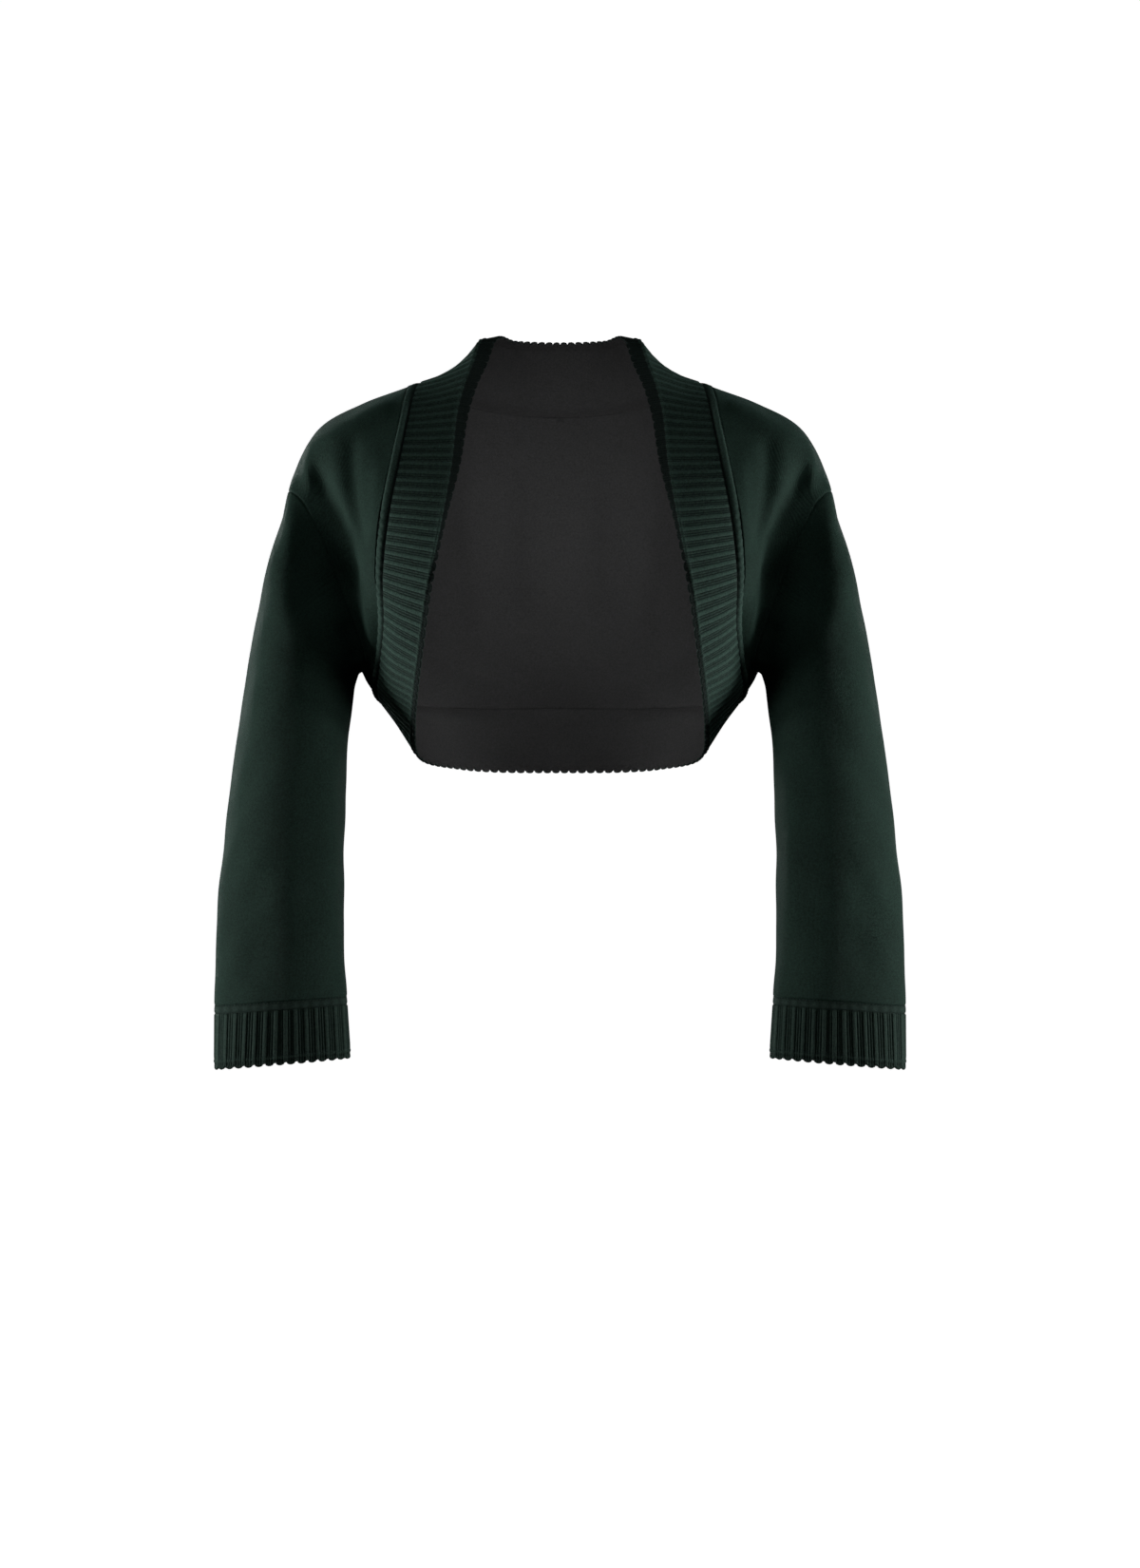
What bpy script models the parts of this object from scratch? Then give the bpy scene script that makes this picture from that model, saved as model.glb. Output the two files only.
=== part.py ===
"""A cropped knitted shrug in the shape it has when worn, with no wearer inside.

Plain-knit back, fronts and sleeves, a ribbed band all round the opening and ribbed cuffs, each a closed wall.
Tables are in millimetres, +X to the wearer's left, -Y to the front, +Z up, and the origin is on the centre
plane at the height where the shoulder seams meet the band. One half is worked out and mirrored.
"""

import bpy
import numpy as np

MM = 0.001

BODY_WALL = 2.0
BAND_WALL = 1.8
SEAM_GAP = 0.3
HALF_GAP = SEAM_GAP / 2
# The band is parted along a rib at the shoulder and side seams.
BAND_SPLIT = 0.5

BAND_RIBS = 168
CUFF_RIBS = 30
RIB_HEIGHT = 1.2
SCALLOP = 1.3
# A fine ridge runs just before each free edge.
RIDGE_HEIGHT = 0.8
CUFF_LENGTH = 53.0
CUFF_EDGE = 5.0
CUFF_SCALLOP = 2.0
CUFF_SINK = 0.6

# The welt is the round ridge along each seam of the band and cuffs. These parts of its width are where it has
# risen, where it falls, and where the ribs start.
WELT_HEIGHT = 2.0
CUFF_WELT_HEIGHT = 1.2
WELT_WIDTH = 8.0
WELT_RISEN = 0.25
WELT_FALLS = 0.7
RIBS_START = 1.25

POINTS_PER_RIB = 3
RIBS_PER_COLUMN = 2
CENTRE_BACK_COLUMNS = 8

GREEN = (0.019, 0.041, 0.031, 1.0)
ROUGHNESS = 0.9

# The opening, from centre back neck round one front to centre back hem. turn is the angle round the arm, in
# degrees from the shoulder seam forwards. welt is where the band joins the body, ridge the line just before
# its free edge, edge that free edge, and dip how far the band sinks between welt and ridge.
OPENING_COLUMNS = "turn welt_x welt_y welt_z ridge_x ridge_y ridge_z edge_x edge_y edge_z dip"
OPENING = {
    "centre_neck": (-70, 0, 92, -26, 0, 70, 32, 0, 67, 38, 0),
    "neck_back": (-42, 62, 82, -21, 46, 58, 33, 40, 56, 39, 1),
    "neck_side": (-18, 109, 52, -10, 70, 31, 39, 57, 34, 41, 4),
    "shoulder": (0, 133, 10, -3, 78.5, 4, 17, 66, 12, 16, 2),
    "collar": (14, 137.5, -14, -14, 85.5, -13, -2, 74, -4, -3, 2),
    "collar_front": (28, 140, -33, -30, 91, -29, -24, 80.5, -20, -25, 1),
    "yoke": (52, 148.5, -56, -72, 96, -62, -73, 88, -53, -74, 0),
    "chest": (76, 157.5, -70, -122, 105, -90, -128, 101, -86, -129, -1),
    "bust": (100, 161, -68, -170, 116, -101, -184, 113, -103, -185, -2),
    "low": (130, 159, -54, -213, 123, -95, -238, 121, -97, -241, -3),
    "side_front": (155, 162, -29, -246, 128, -70, -273, 126, -71, -277, -5),
    "side": (180, 167, 8, -267, 131, -24, -303, 129, -26, -307, -1),
    "hem_side": (205, 157, 50, -281, 128, 40, -328, 126, 40, -332, 1),
    "hem_back": (225, 112, 95, -287, 92, 92, -336, 91, 91, -341, 0),
    "centre_hem": (240, 0, 116, -288, 0, 112, -339, 0, 111, -344, -1),
}

# The fold ring lies between the opening and the armhole, where each panel turns back towards the sleeve.
# fullness is how far the panel swells between the opening and this ring.
FOLD_COLUMNS = "turn fold_x fold_y fold_z fullness"
FOLD = {
    "shoulder": (0, 214, 6, -42, 4),
    "collar": (25, 221, -20, -64, 5),
    "yoke": (50, 212, -29, -93, 2),
    "lip": (63, 199, -37, -118, 1),
    "chest": (75, 186, -46, -139, 1),
    "bust": (100, 177.5, -48, -173, 1),
    "low": (130, 169.5, -51, -209, 0.5),
    "side_front": (155, 163.5, -31, -242, 0),
    "side": (180, 171, 6, -263, 0),
    "hem_side": (205, 174, 43, -256, 1),
    "hem_back": (225, 181, 62, -236, 3),
    "hem_middle": (232.5, 183, 68, -224, 6),
    "centre_hem": (240, 184.5, 72.5, -211, 10.5),
    "blade_low": (255, 187, 78, -180, 13),
    "blade": (270, 190, 80, -145, 14),
    "blade_high": (290, 197, 68, -105, 12),
    "neck_back": (325, 207, 36, -62, 9),
}

# The panels swell away from the core, which follows their height by CORE_RISE.
CORE = (110, 15, -160)
CORE_RISE = 0.8

# The centre back line, from hem to neck, and how far it leans backwards for each step up.
CENTRE_BACK_LEAN = -0.09
CENTRE_BACK_COLUMN_NAMES = "turn depth height"
CENTRE_BACK = {
    "hem": (240, 116, -288),
    "waist": (255, 112, -215),
    "blades": (270, 103, -140),
    "nape": (290, 92, -26),
}

# Rings round the sleeve. outer and inner are its far and near points, seen from the front, front and back its
# depth from the line between them, pull how far its front moves inwards, and square its corners (2 is round).
RING_COLUMNS = "outer_x outer_z inner_x inner_z middle_y front back pull square"
RINGS = {
    "armhole": (240.5, -97, 176.5, -256, 5, 39, 50, 13, 3.1),
    "cap": (250, -143, 181, -266, 6, 53, 59, -12, 2.7),
    "bicep": (265.5, -200, 183.5, -281, 6, 56, 63, -8, 2.0),
    "upper": (276.5, -254, 185, -295, 6, 58, 62, -3, 2.0),
    "elbow": (288, -330, 188.5, -335, 4, 55, 58, 2, 2.0),
    "forearm": (297, -404, 190.5, -405, 0, 48, 50, 2, 1.9),
    "wrist": (303.5, -478, 191, -476, -4, 40, 40, 3, 1.8),
    "cuff_top": (305, -551, 188.6, -543, -6, 33, 31, 2, 1.8),
    "cuff_bottom": (305.3, -605, 185.2, -595, -7, 30, 28, 0, 1.9),
}


def named(columns, rows):
    """The rows as arrays, one for each named column."""
    return dict(zip(columns.split(), np.array(list(rows.values()), float).T))


def points_of(columns, name):
    return np.stack([columns[f"{name}_{axis}"] for axis in "xyz"], axis=1)


def curve(knots, values, at):
    """A cubic through values at rising knots, each tangent taken from its two neighbours."""
    knots = np.asarray(knots, float)
    values = np.asarray(values, float).reshape(len(knots), -1)
    step = np.diff(knots)[:, None]
    slope = np.diff(values, axis=0) / step
    middle = (slope[:-1] * step[1:] + slope[1:] * step[:-1]) / (step[:-1] + step[1:])
    tangent = np.concatenate([slope[:1], middle, slope[-1:]])
    i = np.clip(np.searchsorted(knots, at, side="right") - 1, 0, len(step) - 1)
    t = ((at - knots[i]) / step[i, 0])[:, None]
    rise = t * t * (3 - 2 * t)
    return (
        values[i] * (1 - rise)
        + values[i + 1] * rise
        + step[i] * (tangent[i] * t * (1 - t) ** 2 - tangent[i + 1] * t * t * (1 - t))
    )


def unit(vectors):
    return vectors / np.linalg.norm(vectors, axis=-1, keepdims=True)


def distance_along(points):
    return np.append(0, np.cumsum(np.linalg.norm(np.diff(points, axis=0), axis=1)))


def centred(vectors, points):
    """The vectors, with no sideways part where their points lie on the centre plane."""
    return vectors * np.where(np.abs(points[:, :1]) < 1e-6, (0, 1, 1), (1, 1, 1))


def between(rings, position):
    """Points at a position across rings: 1.5 is halfway from the second ring to the third."""
    chord = np.sqrt(np.linalg.norm(np.diff(rings, axis=0), axis=2, keepdims=True))
    slope = np.diff(rings, axis=0) / chord
    middle = (slope[:-1] * chord[1:] + slope[1:] * chord[:-1]) / (chord[:-1] + chord[1:])
    tangent = np.concatenate([slope[:1], middle, slope[-1:]])
    i = int(min(np.floor(position), len(chord) - 1))
    t = position - i
    rise = t * t * (3 - 2 * t)
    return (
        rings[i] * (1 - rise)
        + rings[i + 1] * rise
        + chord[i] * (tangent[i] * t * (1 - t) ** 2 - tangent[i + 1] * t * t * (1 - t))
    )


for startup_object in list(bpy.data.objects):
    bpy.data.objects.remove(startup_object)
SHRUG = bpy.data.collections.new("knitted shrug")
bpy.context.scene.collection.children.link(SHRUG)
WEARER = bpy.data.objects.new("wearer", None)
SHRUG.objects.link(WEARER)

FLIP_X = np.array([-1.0, 1.0, 1.0])
OPENING = named(OPENING_COLUMNS, OPENING)
FOLD = named(FOLD_COLUMNS, FOLD)
CENTRE_BACK = named(CENTRE_BACK_COLUMN_NAMES, CENTRE_BACK)
RINGS = {ring: dict(zip(RING_COLUMNS.split(), row)) for ring, row in RINGS.items()}


# ---------------------------------------------------------------- the band round the opening


# Length along the middle of the band at each station, from centre neck to centre hem.
KNOTS = distance_along((points_of(OPENING, "welt") + points_of(OPENING, "ridge")) / 2)
HALF_RIBS = BAND_RIBS // 2
RIB_PITCH = KNOTS[-1] / HALF_RIBS
HALF_WIDTH = np.linalg.norm(points_of(OPENING, "ridge") - points_of(OPENING, "welt"), axis=1).mean() / 2
# Directions are read over a step either way, and beside a seam a little way from it.
STEP = 0.05
BESIDE = 0.2


def on_left(rib):
    """Whether a rib number lies on the wearer's left; numbers past BAND_RIBS go round again."""
    return (rib % BAND_RIBS <= HALF_RIBS)[:, None]


def length_at(rib):
    return np.minimum(rib % BAND_RIBS, BAND_RIBS - rib % BAND_RIBS) * RIB_PITCH


def opening_line(name, rib):
    """The named line of the opening at rib numbers from 0 to BAND_RIBS, the second half mirrored."""
    rows = points_of(OPENING, name)
    # Two mirrored stations at each end keep the line smooth across the centre plane.
    rows = np.concatenate([rows[2:0:-1] * FLIP_X, rows, rows[-2:-4:-1] * FLIP_X])
    knots = np.concatenate([-KNOTS[2:0:-1], KNOTS, 2 * KNOTS[-1] - KNOTS[-2:-4:-1]])
    points = curve(knots, rows, length_at(rib))
    return np.where(on_left(rib), points, points * FLIP_X)


# Positions across the band: its welt is 0.
MIDDLE, RIDGE, EDGE = 1, 2, 3


def band_surface(rib, position):
    """The band's surface under its ribs, at a position from its welt to its edge."""
    welt, ridge, edge = (opening_line(name, rib) for name in ("welt", "ridge", "edge"))
    along = opening_line("welt", rib + STEP) - opening_line("welt", rib - STEP)
    dip = curve(KNOTS, OPENING["dip"], length_at(rib))
    sunk = (welt + ridge) / 2 + unit(np.cross(along, ridge - welt)) * dip
    # The cloth turns sharply at the ridge, so the strip beyond it is straight.
    if position > RIDGE:
        return ridge + (edge - ridge) * (position - RIDGE)
    return between(np.stack([welt, sunk, ridge]), position)


def seam_normal(rib):
    """The outward direction where band and body meet, shared by both so that their walls meet squarely."""
    welt = opening_line("welt", rib)
    along = opening_line("welt", rib + STEP) - opening_line("welt", rib - STEP)
    side = np.where(on_left(rib), 1, FLIP_X)
    panel = side * body_surface(turn_at(rib), side * welt, BESIDE)
    across = unit(band_surface(rib, BESIDE) - welt) - unit(panel - welt)
    return unit(centred(np.cross(across, along), welt))


def band_points(rib, position, height):
    """Points of the band raised by height off its surface."""
    along = band_surface(rib + STEP, position) - band_surface(rib - STEP, position)
    across = band_surface(rib, min(position + STEP, EDGE)) - band_surface(rib, max(position - STEP, 0))
    out = seam_normal(rib) if position == 0 else unit(np.cross(across, along))
    return band_surface(rib, position) + out * np.reshape(height, (-1, 1))


# ---------------------------------------------------------------- the body and the sleeves


def turn_at(rib):
    return curve(KNOTS, OPENING["turn"], length_at(rib))[:, 0]


def ring_points(ring, turn):
    """The named ring at these angles from its outer point, forwards round the arm."""
    row = RINGS[ring]
    outer = np.array([row["outer_x"], row["middle_y"], row["outer_z"]])
    inner = np.array([row["inner_x"], row["middle_y"], row["inner_z"]])
    cos, sin = np.cos(np.radians(turn)), np.sin(np.radians(turn))
    cos = np.sign(cos) * np.abs(cos) ** (2 / row["square"])
    depth = np.abs(sin) ** (2 / row["square"])
    points = (outer + inner) / 2 + cos[:, None] * (outer - inner) / 2
    points[:, 1] -= np.where(sin > 0, row["front"], -row["back"]) * depth
    points[:, 0] -= np.where(sin > 0, row["pull"], 0) * depth
    return points


def fold_at(turn):
    """The fold ring's points and the fullness beside it, at these angles."""
    values = np.column_stack([points_of(FOLD, "fold"), FOLD["fullness"]])
    knots = np.concatenate([FOLD["turn"] - 360, FOLD["turn"], FOLD["turn"] + 360])
    found = curve(knots, np.tile(values, (3, 1)), turn % 360)
    return found[:, :3], found[:, 3:]


# Positions across body and sleeve: the opening is 0, the panel's fullest line 1, the fold 2, then the rings.
ARMHOLE = 3
CUFF_TOP = ARMHOLE + list(RINGS).index("cuff_top")
CUFF_BOTTOM = ARMHOLE + list(RINGS).index("cuff_bottom")


def body_surface(turn, inner, position):
    """Points of body and sleeve at these angles, on columns that start at the inner points."""
    fold, fullness = fold_at(turn)
    middle = (inner + fold) / 2
    across = unit(fold - inner)
    away = (middle - CORE) * (1, 1, 1 - CORE_RISE)
    away = unit(away - np.sum(away * across, axis=1, keepdims=True) * across)
    middle += away * fullness
    # A ring before the first one makes the back run level across the centre plane.
    before = 2 * inner - middle
    level = (middle[:, 0] - inner[:, 0]) / (middle[:, 0] + inner[:, 0])
    rise = middle[:, 2] - inner[:, 2]
    before[:, 1] += 2 * level * (middle[:, 1] - inner[:, 1] - CENTRE_BACK_LEAN * rise)
    rings = [before, inner, middle, fold] + [ring_points(ring, turn) for ring in RINGS]
    return between(np.stack(rings), position + 1)


def even(rib):
    return int(round(rib / RIBS_PER_COLUMN)) * RIBS_PER_COLUMN


def rib_at_turn(turn):
    return np.interp(turn, OPENING["turn"], KNOTS) / RIB_PITCH


SHOULDER_RIB = even(rib_at_turn(0))
SIDE_RIB = even(rib_at_turn(180))
# Columns run round the arm from the shoulder seam: down the front, along the hem, up the centre back and
# along the back neck.
SIDE_COLUMN = (SIDE_RIB - SHOULDER_RIB) // RIBS_PER_COLUMN
HEM_COLUMN = (HALF_RIBS - SHOULDER_RIB) // RIBS_PER_COLUMN
NECK_COLUMN = HEM_COLUMN + CENTRE_BACK_COLUMNS
COLUMNS = NECK_COLUMN + SHOULDER_RIB // RIBS_PER_COLUMN


def rib_of(column):
    """The rib number where a column starts on the opening; on the centre back line it means nothing."""
    front = SHOULDER_RIB + column * RIBS_PER_COLUMN
    return np.where(column <= HEM_COLUMN, front, (column - NECK_COLUMN) * RIBS_PER_COLUMN).astype(float)


def start_of(column):
    """Angle and innermost point of each column."""
    column = column % COLUMNS
    rib = np.clip(rib_of(column), 0, HALF_RIBS)
    turn, inner = turn_at(rib), opening_line("welt", rib)
    low, high = CENTRE_BACK["turn"][[0, -1]]
    centre_turn = low + (high - low) * (column - HEM_COLUMN) / CENTRE_BACK_COLUMNS
    depth_height = np.column_stack([CENTRE_BACK["depth"], CENTRE_BACK["height"]])
    line = curve(CENTRE_BACK["turn"], depth_height, centre_turn)
    centre = np.column_stack([np.zeros(len(column)), line])
    on_centre = (column > HEM_COLUMN) & (column < NECK_COLUMN)
    return np.where(on_centre, centre_turn, turn % 360), np.where(on_centre[:, None], centre, inner)


def body_points(column, position, height=0.0, move=0.0):
    """Points of body and sleeve raised by height, and moved along the surface away from the opening."""
    turn, inner = start_of(column)
    here = body_surface(turn, inner, position)
    ahead, behind = (body_surface(*start_of(column + step), position) for step in (STEP, -STEP))
    along = ahead - behind
    beyond = body_surface(turn, inner, min(position + STEP, CUFF_BOTTOM))
    across = unit(beyond - body_surface(turn, inner, max(position - STEP, 0)))
    out = unit(centred(np.cross(along, across), here))
    return here + out * height + across * move


def border_points(column, height=0.0):
    """The body's edge along the opening and up the centre back line."""
    points = body_points(column, 0, height)
    on_band = (column <= HEM_COLUMN) | (column >= NECK_COLUMN)
    rib = rib_of(column[on_band])
    welt = opening_line("welt", rib)
    away = unit(welt - band_surface(rib, BESIDE))
    points[on_band] = welt + seam_normal(rib) * height + away * HALF_GAP
    points[:, 0] = np.where(on_band, points[:, 0], 0)
    return points


# ---------------------------------------------------------------- walls


def strip(a, b, at_a=None, at_b=None):
    """Triangles between two rows of point numbers, matched by where they lie along each row, from 0 to 1."""
    at_a = np.linspace(0, 1, len(a)) if at_a is None else at_a
    at_b = np.linspace(0, 1, len(b)) if at_b is None else at_b
    faces = []
    i = j = 0
    while i < len(a) - 1 or j < len(b) - 1:
        if j == len(b) - 1 or (i < len(a) - 1 and at_a[i + 1] <= at_b[j + 1] + 1e-9):
            faces.append((a[i], b[j], a[i + 1]))
            i += 1
        else:
            faces.append((a[i], b[j], b[j + 1]))
            j += 1
    return faces


def end_of(wall_points, outer, inner):
    """Triangles across one end of a wall, between its outer and inner lines."""
    lengths = [distance_along(wall_points[line]) for line in (outer, inner)]
    return strip(outer, inner, *[length / length[-1] for length in lengths])


def wall(name, outside, inside, closed=False, open_part=None, mirrored=False):
    """A closed wall between rows of outside and rows of inside points, both from one edge to the other.

    closed joins each row's ends, as on a tube. open_part leaves out the rim of the first rows between two of
    their points, where a mirrored half meets the other.
    """
    rows = outside + inside[::-1]
    starts = np.append(0, np.cumsum([len(row) for row in rows]))
    numbers = [list(range(start, start + len(row))) for start, row in zip(starts, rows)]
    faces = []
    for a, b in zip(numbers, numbers[1:]):
        faces += strip(a + a[:1], b + b[:1]) if closed else strip(a, b)
    first, last = numbers[-1], numbers[0]
    if closed:
        faces += strip(first + first[:1], last + last[:1])
    elif open_part:
        faces += strip(first[: open_part[0] + 1], last[: open_part[0] + 1])
        faces += strip(first[open_part[1] :], last[open_part[1] :])
    else:
        faces += strip(first, last)
    points = np.concatenate(rows) * MM
    if not closed:
        outer, inner = numbers[: len(outside)], numbers[len(outside) :][::-1]
        faces += end_of(points, [n[0] for n in outer], [n[0] for n in inner])
        faces += [face[::-1] for face in end_of(points, [n[-1] for n in outer], [n[-1] for n in inner])]
    faces = np.array(faces)
    if np.linalg.det(points[faces]).sum() < 0:
        faces = faces[:, ::-1]
    if mirrored:
        points, faces = points * FLIP_X, faces[:, ::-1]
    mesh = bpy.data.meshes.new(name)
    mesh.from_pydata(points.tolist(), [], faces.tolist())
    mesh.update()
    piece = bpy.data.objects.new(name, mesh)
    SHRUG.objects.link(piece)
    piece.parent = WEARER
    mesh.materials.append(knit(name))
    mesh.shade_smooth()
    mesh.set_sharp_from_angle(angle=np.radians(40))
    return piece


def knit(name):
    """Fine dark green knit."""
    material = bpy.data.materials.new(name)
    material.use_nodes = True
    shader = material.node_tree.nodes["Principled BSDF"]
    shader.inputs["Base Color"].default_value = GREEN
    shader.inputs["Roughness"].default_value = ROUGHNESS
    return material


# ---------------------------------------------------------------- pieces

PANEL_POSITIONS = (0.5, 1, 1.4, 1.7, 2, 2.3, 2.65)
CAP_POSITION = 3.4
SLEEVE_POSITIONS = (4, 4.5, 5, 6, 7, 8, 9)
FIELD_POSITIONS = (0.85, 1.4)
INNER_EDGE = 2.7


def trimmed(numbers, gap):
    """Column or rib numbers from one end of a piece to the other, both ends moved a gap inwards."""
    numbers = numbers.astype(float)
    numbers[0] += gap
    numbers[-1] -= gap
    return numbers


def panel(name, first, last, **options):
    """A body panel between two columns."""
    gap = HALF_GAP / (RIB_PITCH * RIBS_PER_COLUMN)
    coarse = trimmed(np.arange(first, last + 1), gap)
    fine = trimmed(np.arange(2 * first, 2 * last + 1) / 2, gap)
    sides = []
    for height in (0, -BODY_WALL):
        rows = [border_points(fine, height)]
        rows += [body_points(coarse, position, height) for position in PANEL_POSITIONS]
        rows += [body_points(coarse, ARMHOLE, height, -HALF_GAP)]
        sides.append(rows)
    return wall(name, *sides, **options)


def sleeve(name, mirrored):
    column = np.arange(COLUMNS)
    sides = []
    for height in (0, -BODY_WALL):
        rows = [body_points(column, ARMHOLE, height, HALF_GAP)]
        rows += [body_points(column, CAP_POSITION, height)]
        rows += [body_points(column[::2], position, height) for position in SLEEVE_POSITIONS]
        rows += [body_points(column[::2], CUFF_TOP, height, -HALF_GAP)]
        sides.append(rows)
    return wall(name, *sides, closed=True, mirrored=mirrored)


def is_rib(rib):
    """A broad rib is centred on each whole rib number, and a scallop's lobe lies between two of them."""
    return np.abs(rib - np.round(rib)) < 0.1


def band(name, first, last, mirrored=False):
    """A stretch of the band between two rib numbers."""
    gap = BAND_SPLIT / 2 / RIB_PITCH
    coarse = trimmed(np.arange(first, last + 1), gap)
    fine = trimmed(np.arange(first * POINTS_PER_RIB, last * POINTS_PER_RIB + 1) / POINTS_PER_RIB, gap)
    high = np.where(is_rib(fine), RIB_HEIGHT, 0)
    welt = WELT_WIDTH / HALF_WIDTH
    seam = unit(band_surface(coarse, BESIDE) - band_surface(coarse, 0)) * HALF_GAP
    edge = band_points(fine, EDGE, 0)
    outwards = unit(edge - band_surface(fine, RIDGE))
    outside = [
        band_points(coarse, 0, 0) + seam,
        band_points(coarse, welt * WELT_RISEN, WELT_HEIGHT),
        band_points(coarse, welt * WELT_FALLS, WELT_HEIGHT),
        band_points(fine, welt, 0),
        band_points(fine, welt * RIBS_START, high),
        *[band_points(fine, position, high) for position in FIELD_POSITIONS],
        band_points(fine, RIDGE, high + RIDGE_HEIGHT),
        edge + outwards * np.where(is_rib(fine), -SCALLOP, SCALLOP)[:, None],
    ]
    inside = [band_points(coarse, 0, -BAND_WALL) + seam]
    inside += [band_points(coarse, position, -BAND_WALL) for position in (MIDDLE, RIDGE, INNER_EDGE)]
    return wall(name, outside, inside, mirrored=mirrored)


def cuff_turn(rib):
    """The angle of each cuff rib, at equal steps along the cuff's lower ring."""
    turn = np.linspace(0, 360, 721)
    length = distance_along(ring_points("cuff_bottom", turn))
    return np.interp(rib % CUFF_RIBS, length / length[-1] * CUFF_RIBS, turn)


def cuff_points(rib, distance, height, reach=0.0):
    """Points of the cuff at a distance below its seam, raised by height and moved down by reach."""
    top, bottom = (ring_points(ring, cuff_turn(rib)) for ring in ("cuff_top", "cuff_bottom"))
    ahead, behind = (ring_points("cuff_bottom", cuff_turn(rib + step)) for step in (STEP, -STEP))
    down = unit(bottom - top)
    out = unit(np.cross(ahead - behind, down))
    here = top + (bottom - top) * distance / CUFF_LENGTH
    return here + out * np.reshape(height, (-1, 1)) + down * np.reshape(reach, (-1, 1))


def cuff(name, mirrored):
    coarse = np.arange(CUFF_RIBS)
    fine = np.arange(CUFF_RIBS * POINTS_PER_RIB) / POINTS_PER_RIB
    high = np.where(is_rib(fine), RIB_HEIGHT, 0) - CUFF_SINK
    ridge = CUFF_LENGTH - CUFF_EDGE
    outside = [
        cuff_points(coarse, HALF_GAP, 0),
        cuff_points(coarse, WELT_WIDTH * WELT_RISEN, CUFF_WELT_HEIGHT),
        cuff_points(coarse, WELT_WIDTH * WELT_FALLS, CUFF_WELT_HEIGHT),
        cuff_points(fine, WELT_WIDTH, -CUFF_SINK),
        cuff_points(fine, WELT_WIDTH * RIBS_START, high),
        cuff_points(fine, ridge, high + RIDGE_HEIGHT),
        cuff_points(fine, CUFF_LENGTH, -CUFF_SINK, np.where(is_rib(fine), -CUFF_SCALLOP, CUFF_SCALLOP)),
    ]
    inside = [cuff_points(coarse, HALF_GAP, -BAND_WALL), cuff_points(coarse, ridge, -BAND_WALL - CUFF_SINK)]
    return wall(name, outside, inside, closed=True, mirrored=mirrored)


panel("front_left", 0, SIDE_COLUMN)
panel("front_right", 0, SIDE_COLUMN, mirrored=True)
centre_line = (2 * (HEM_COLUMN - SIDE_COLUMN), 2 * (NECK_COLUMN - SIDE_COLUMN))
back = panel("back", SIDE_COLUMN, COLUMNS, open_part=centre_line)
mirror = back.modifiers.new("other half", "MIRROR")
mirror.merge_threshold = 0.00001
for side, mirrored in (("left", False), ("right", True)):
    sleeve(f"sleeve_{side}", mirrored)
    cuff(f"cuff_{side}", mirrored)
band("band_neck", BAND_RIBS - SHOULDER_RIB, BAND_RIBS + SHOULDER_RIB)
band("band_front_left", SHOULDER_RIB, SIDE_RIB)
band("band_hem", SIDE_RIB, BAND_RIBS - SIDE_RIB)
band("band_front_right", SHOULDER_RIB, SIDE_RIB, mirrored=True)
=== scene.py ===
# %% [markdown]
# # A cropped knitted shrug
# The garment hangs as it does on a wearer, but nobody is inside it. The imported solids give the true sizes.
# Each piece of cloth is made again here as a thin knitted wall on the same surface, with the ribs, seams,
# stitches and soft folds that the solids leave out, and each hides the solid that it stands for.

import bpy
import numpy as np
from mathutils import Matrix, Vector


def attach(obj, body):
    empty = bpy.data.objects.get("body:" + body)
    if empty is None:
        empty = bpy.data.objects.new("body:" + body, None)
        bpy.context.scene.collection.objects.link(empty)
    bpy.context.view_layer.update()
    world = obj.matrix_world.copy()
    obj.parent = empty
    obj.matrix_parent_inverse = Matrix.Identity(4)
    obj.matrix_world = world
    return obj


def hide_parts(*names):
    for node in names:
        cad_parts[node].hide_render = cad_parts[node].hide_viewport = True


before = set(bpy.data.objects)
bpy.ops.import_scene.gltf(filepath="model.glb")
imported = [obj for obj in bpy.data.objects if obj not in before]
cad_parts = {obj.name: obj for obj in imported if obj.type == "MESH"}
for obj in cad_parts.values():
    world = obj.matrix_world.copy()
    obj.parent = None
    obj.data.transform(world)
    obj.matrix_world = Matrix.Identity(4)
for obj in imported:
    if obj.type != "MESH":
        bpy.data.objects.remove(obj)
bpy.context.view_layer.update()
print("solids:", ", ".join(sorted(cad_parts)))

# %% [markdown]
# ## Measures
# The cut of the garment is a handful of lines. One way to make it would be to sculpt a mesh by hand. Here
# the lines are tables of points in millimetres, because a knitted piece is a surface stretched between such
# lines, and the same tables made the solids. +X is the wearer's left, -Y the front, and only the left half
# is listed: the right half is its mirror image.

# %% Sizes of the cloth
MM = 0.001
FLIP_X = np.array([-1.0, 1.0, 1.0])
BODY_WALL, BAND_WALL = 1.4, 1.8
BAND_RIBS, CUFF_RIBS = 168, 30
RIB_HEIGHT, SCALLOP, RIDGE_HEIGHT = 1.2, 1.3, 0.8
CUFF_LENGTH, CUFF_EDGE, CUFF_SCALLOP, CUFF_SINK = 53.0, 5.0, 2.0, 0.6
RIBS_PER_COLUMN, CENTRE_BACK_COLUMNS = 2, 8

# How far on, in ribs, columns or rows, the surface is read a second time to find its direction.
STEP, BESIDE = 0.05, 0.2

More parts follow.
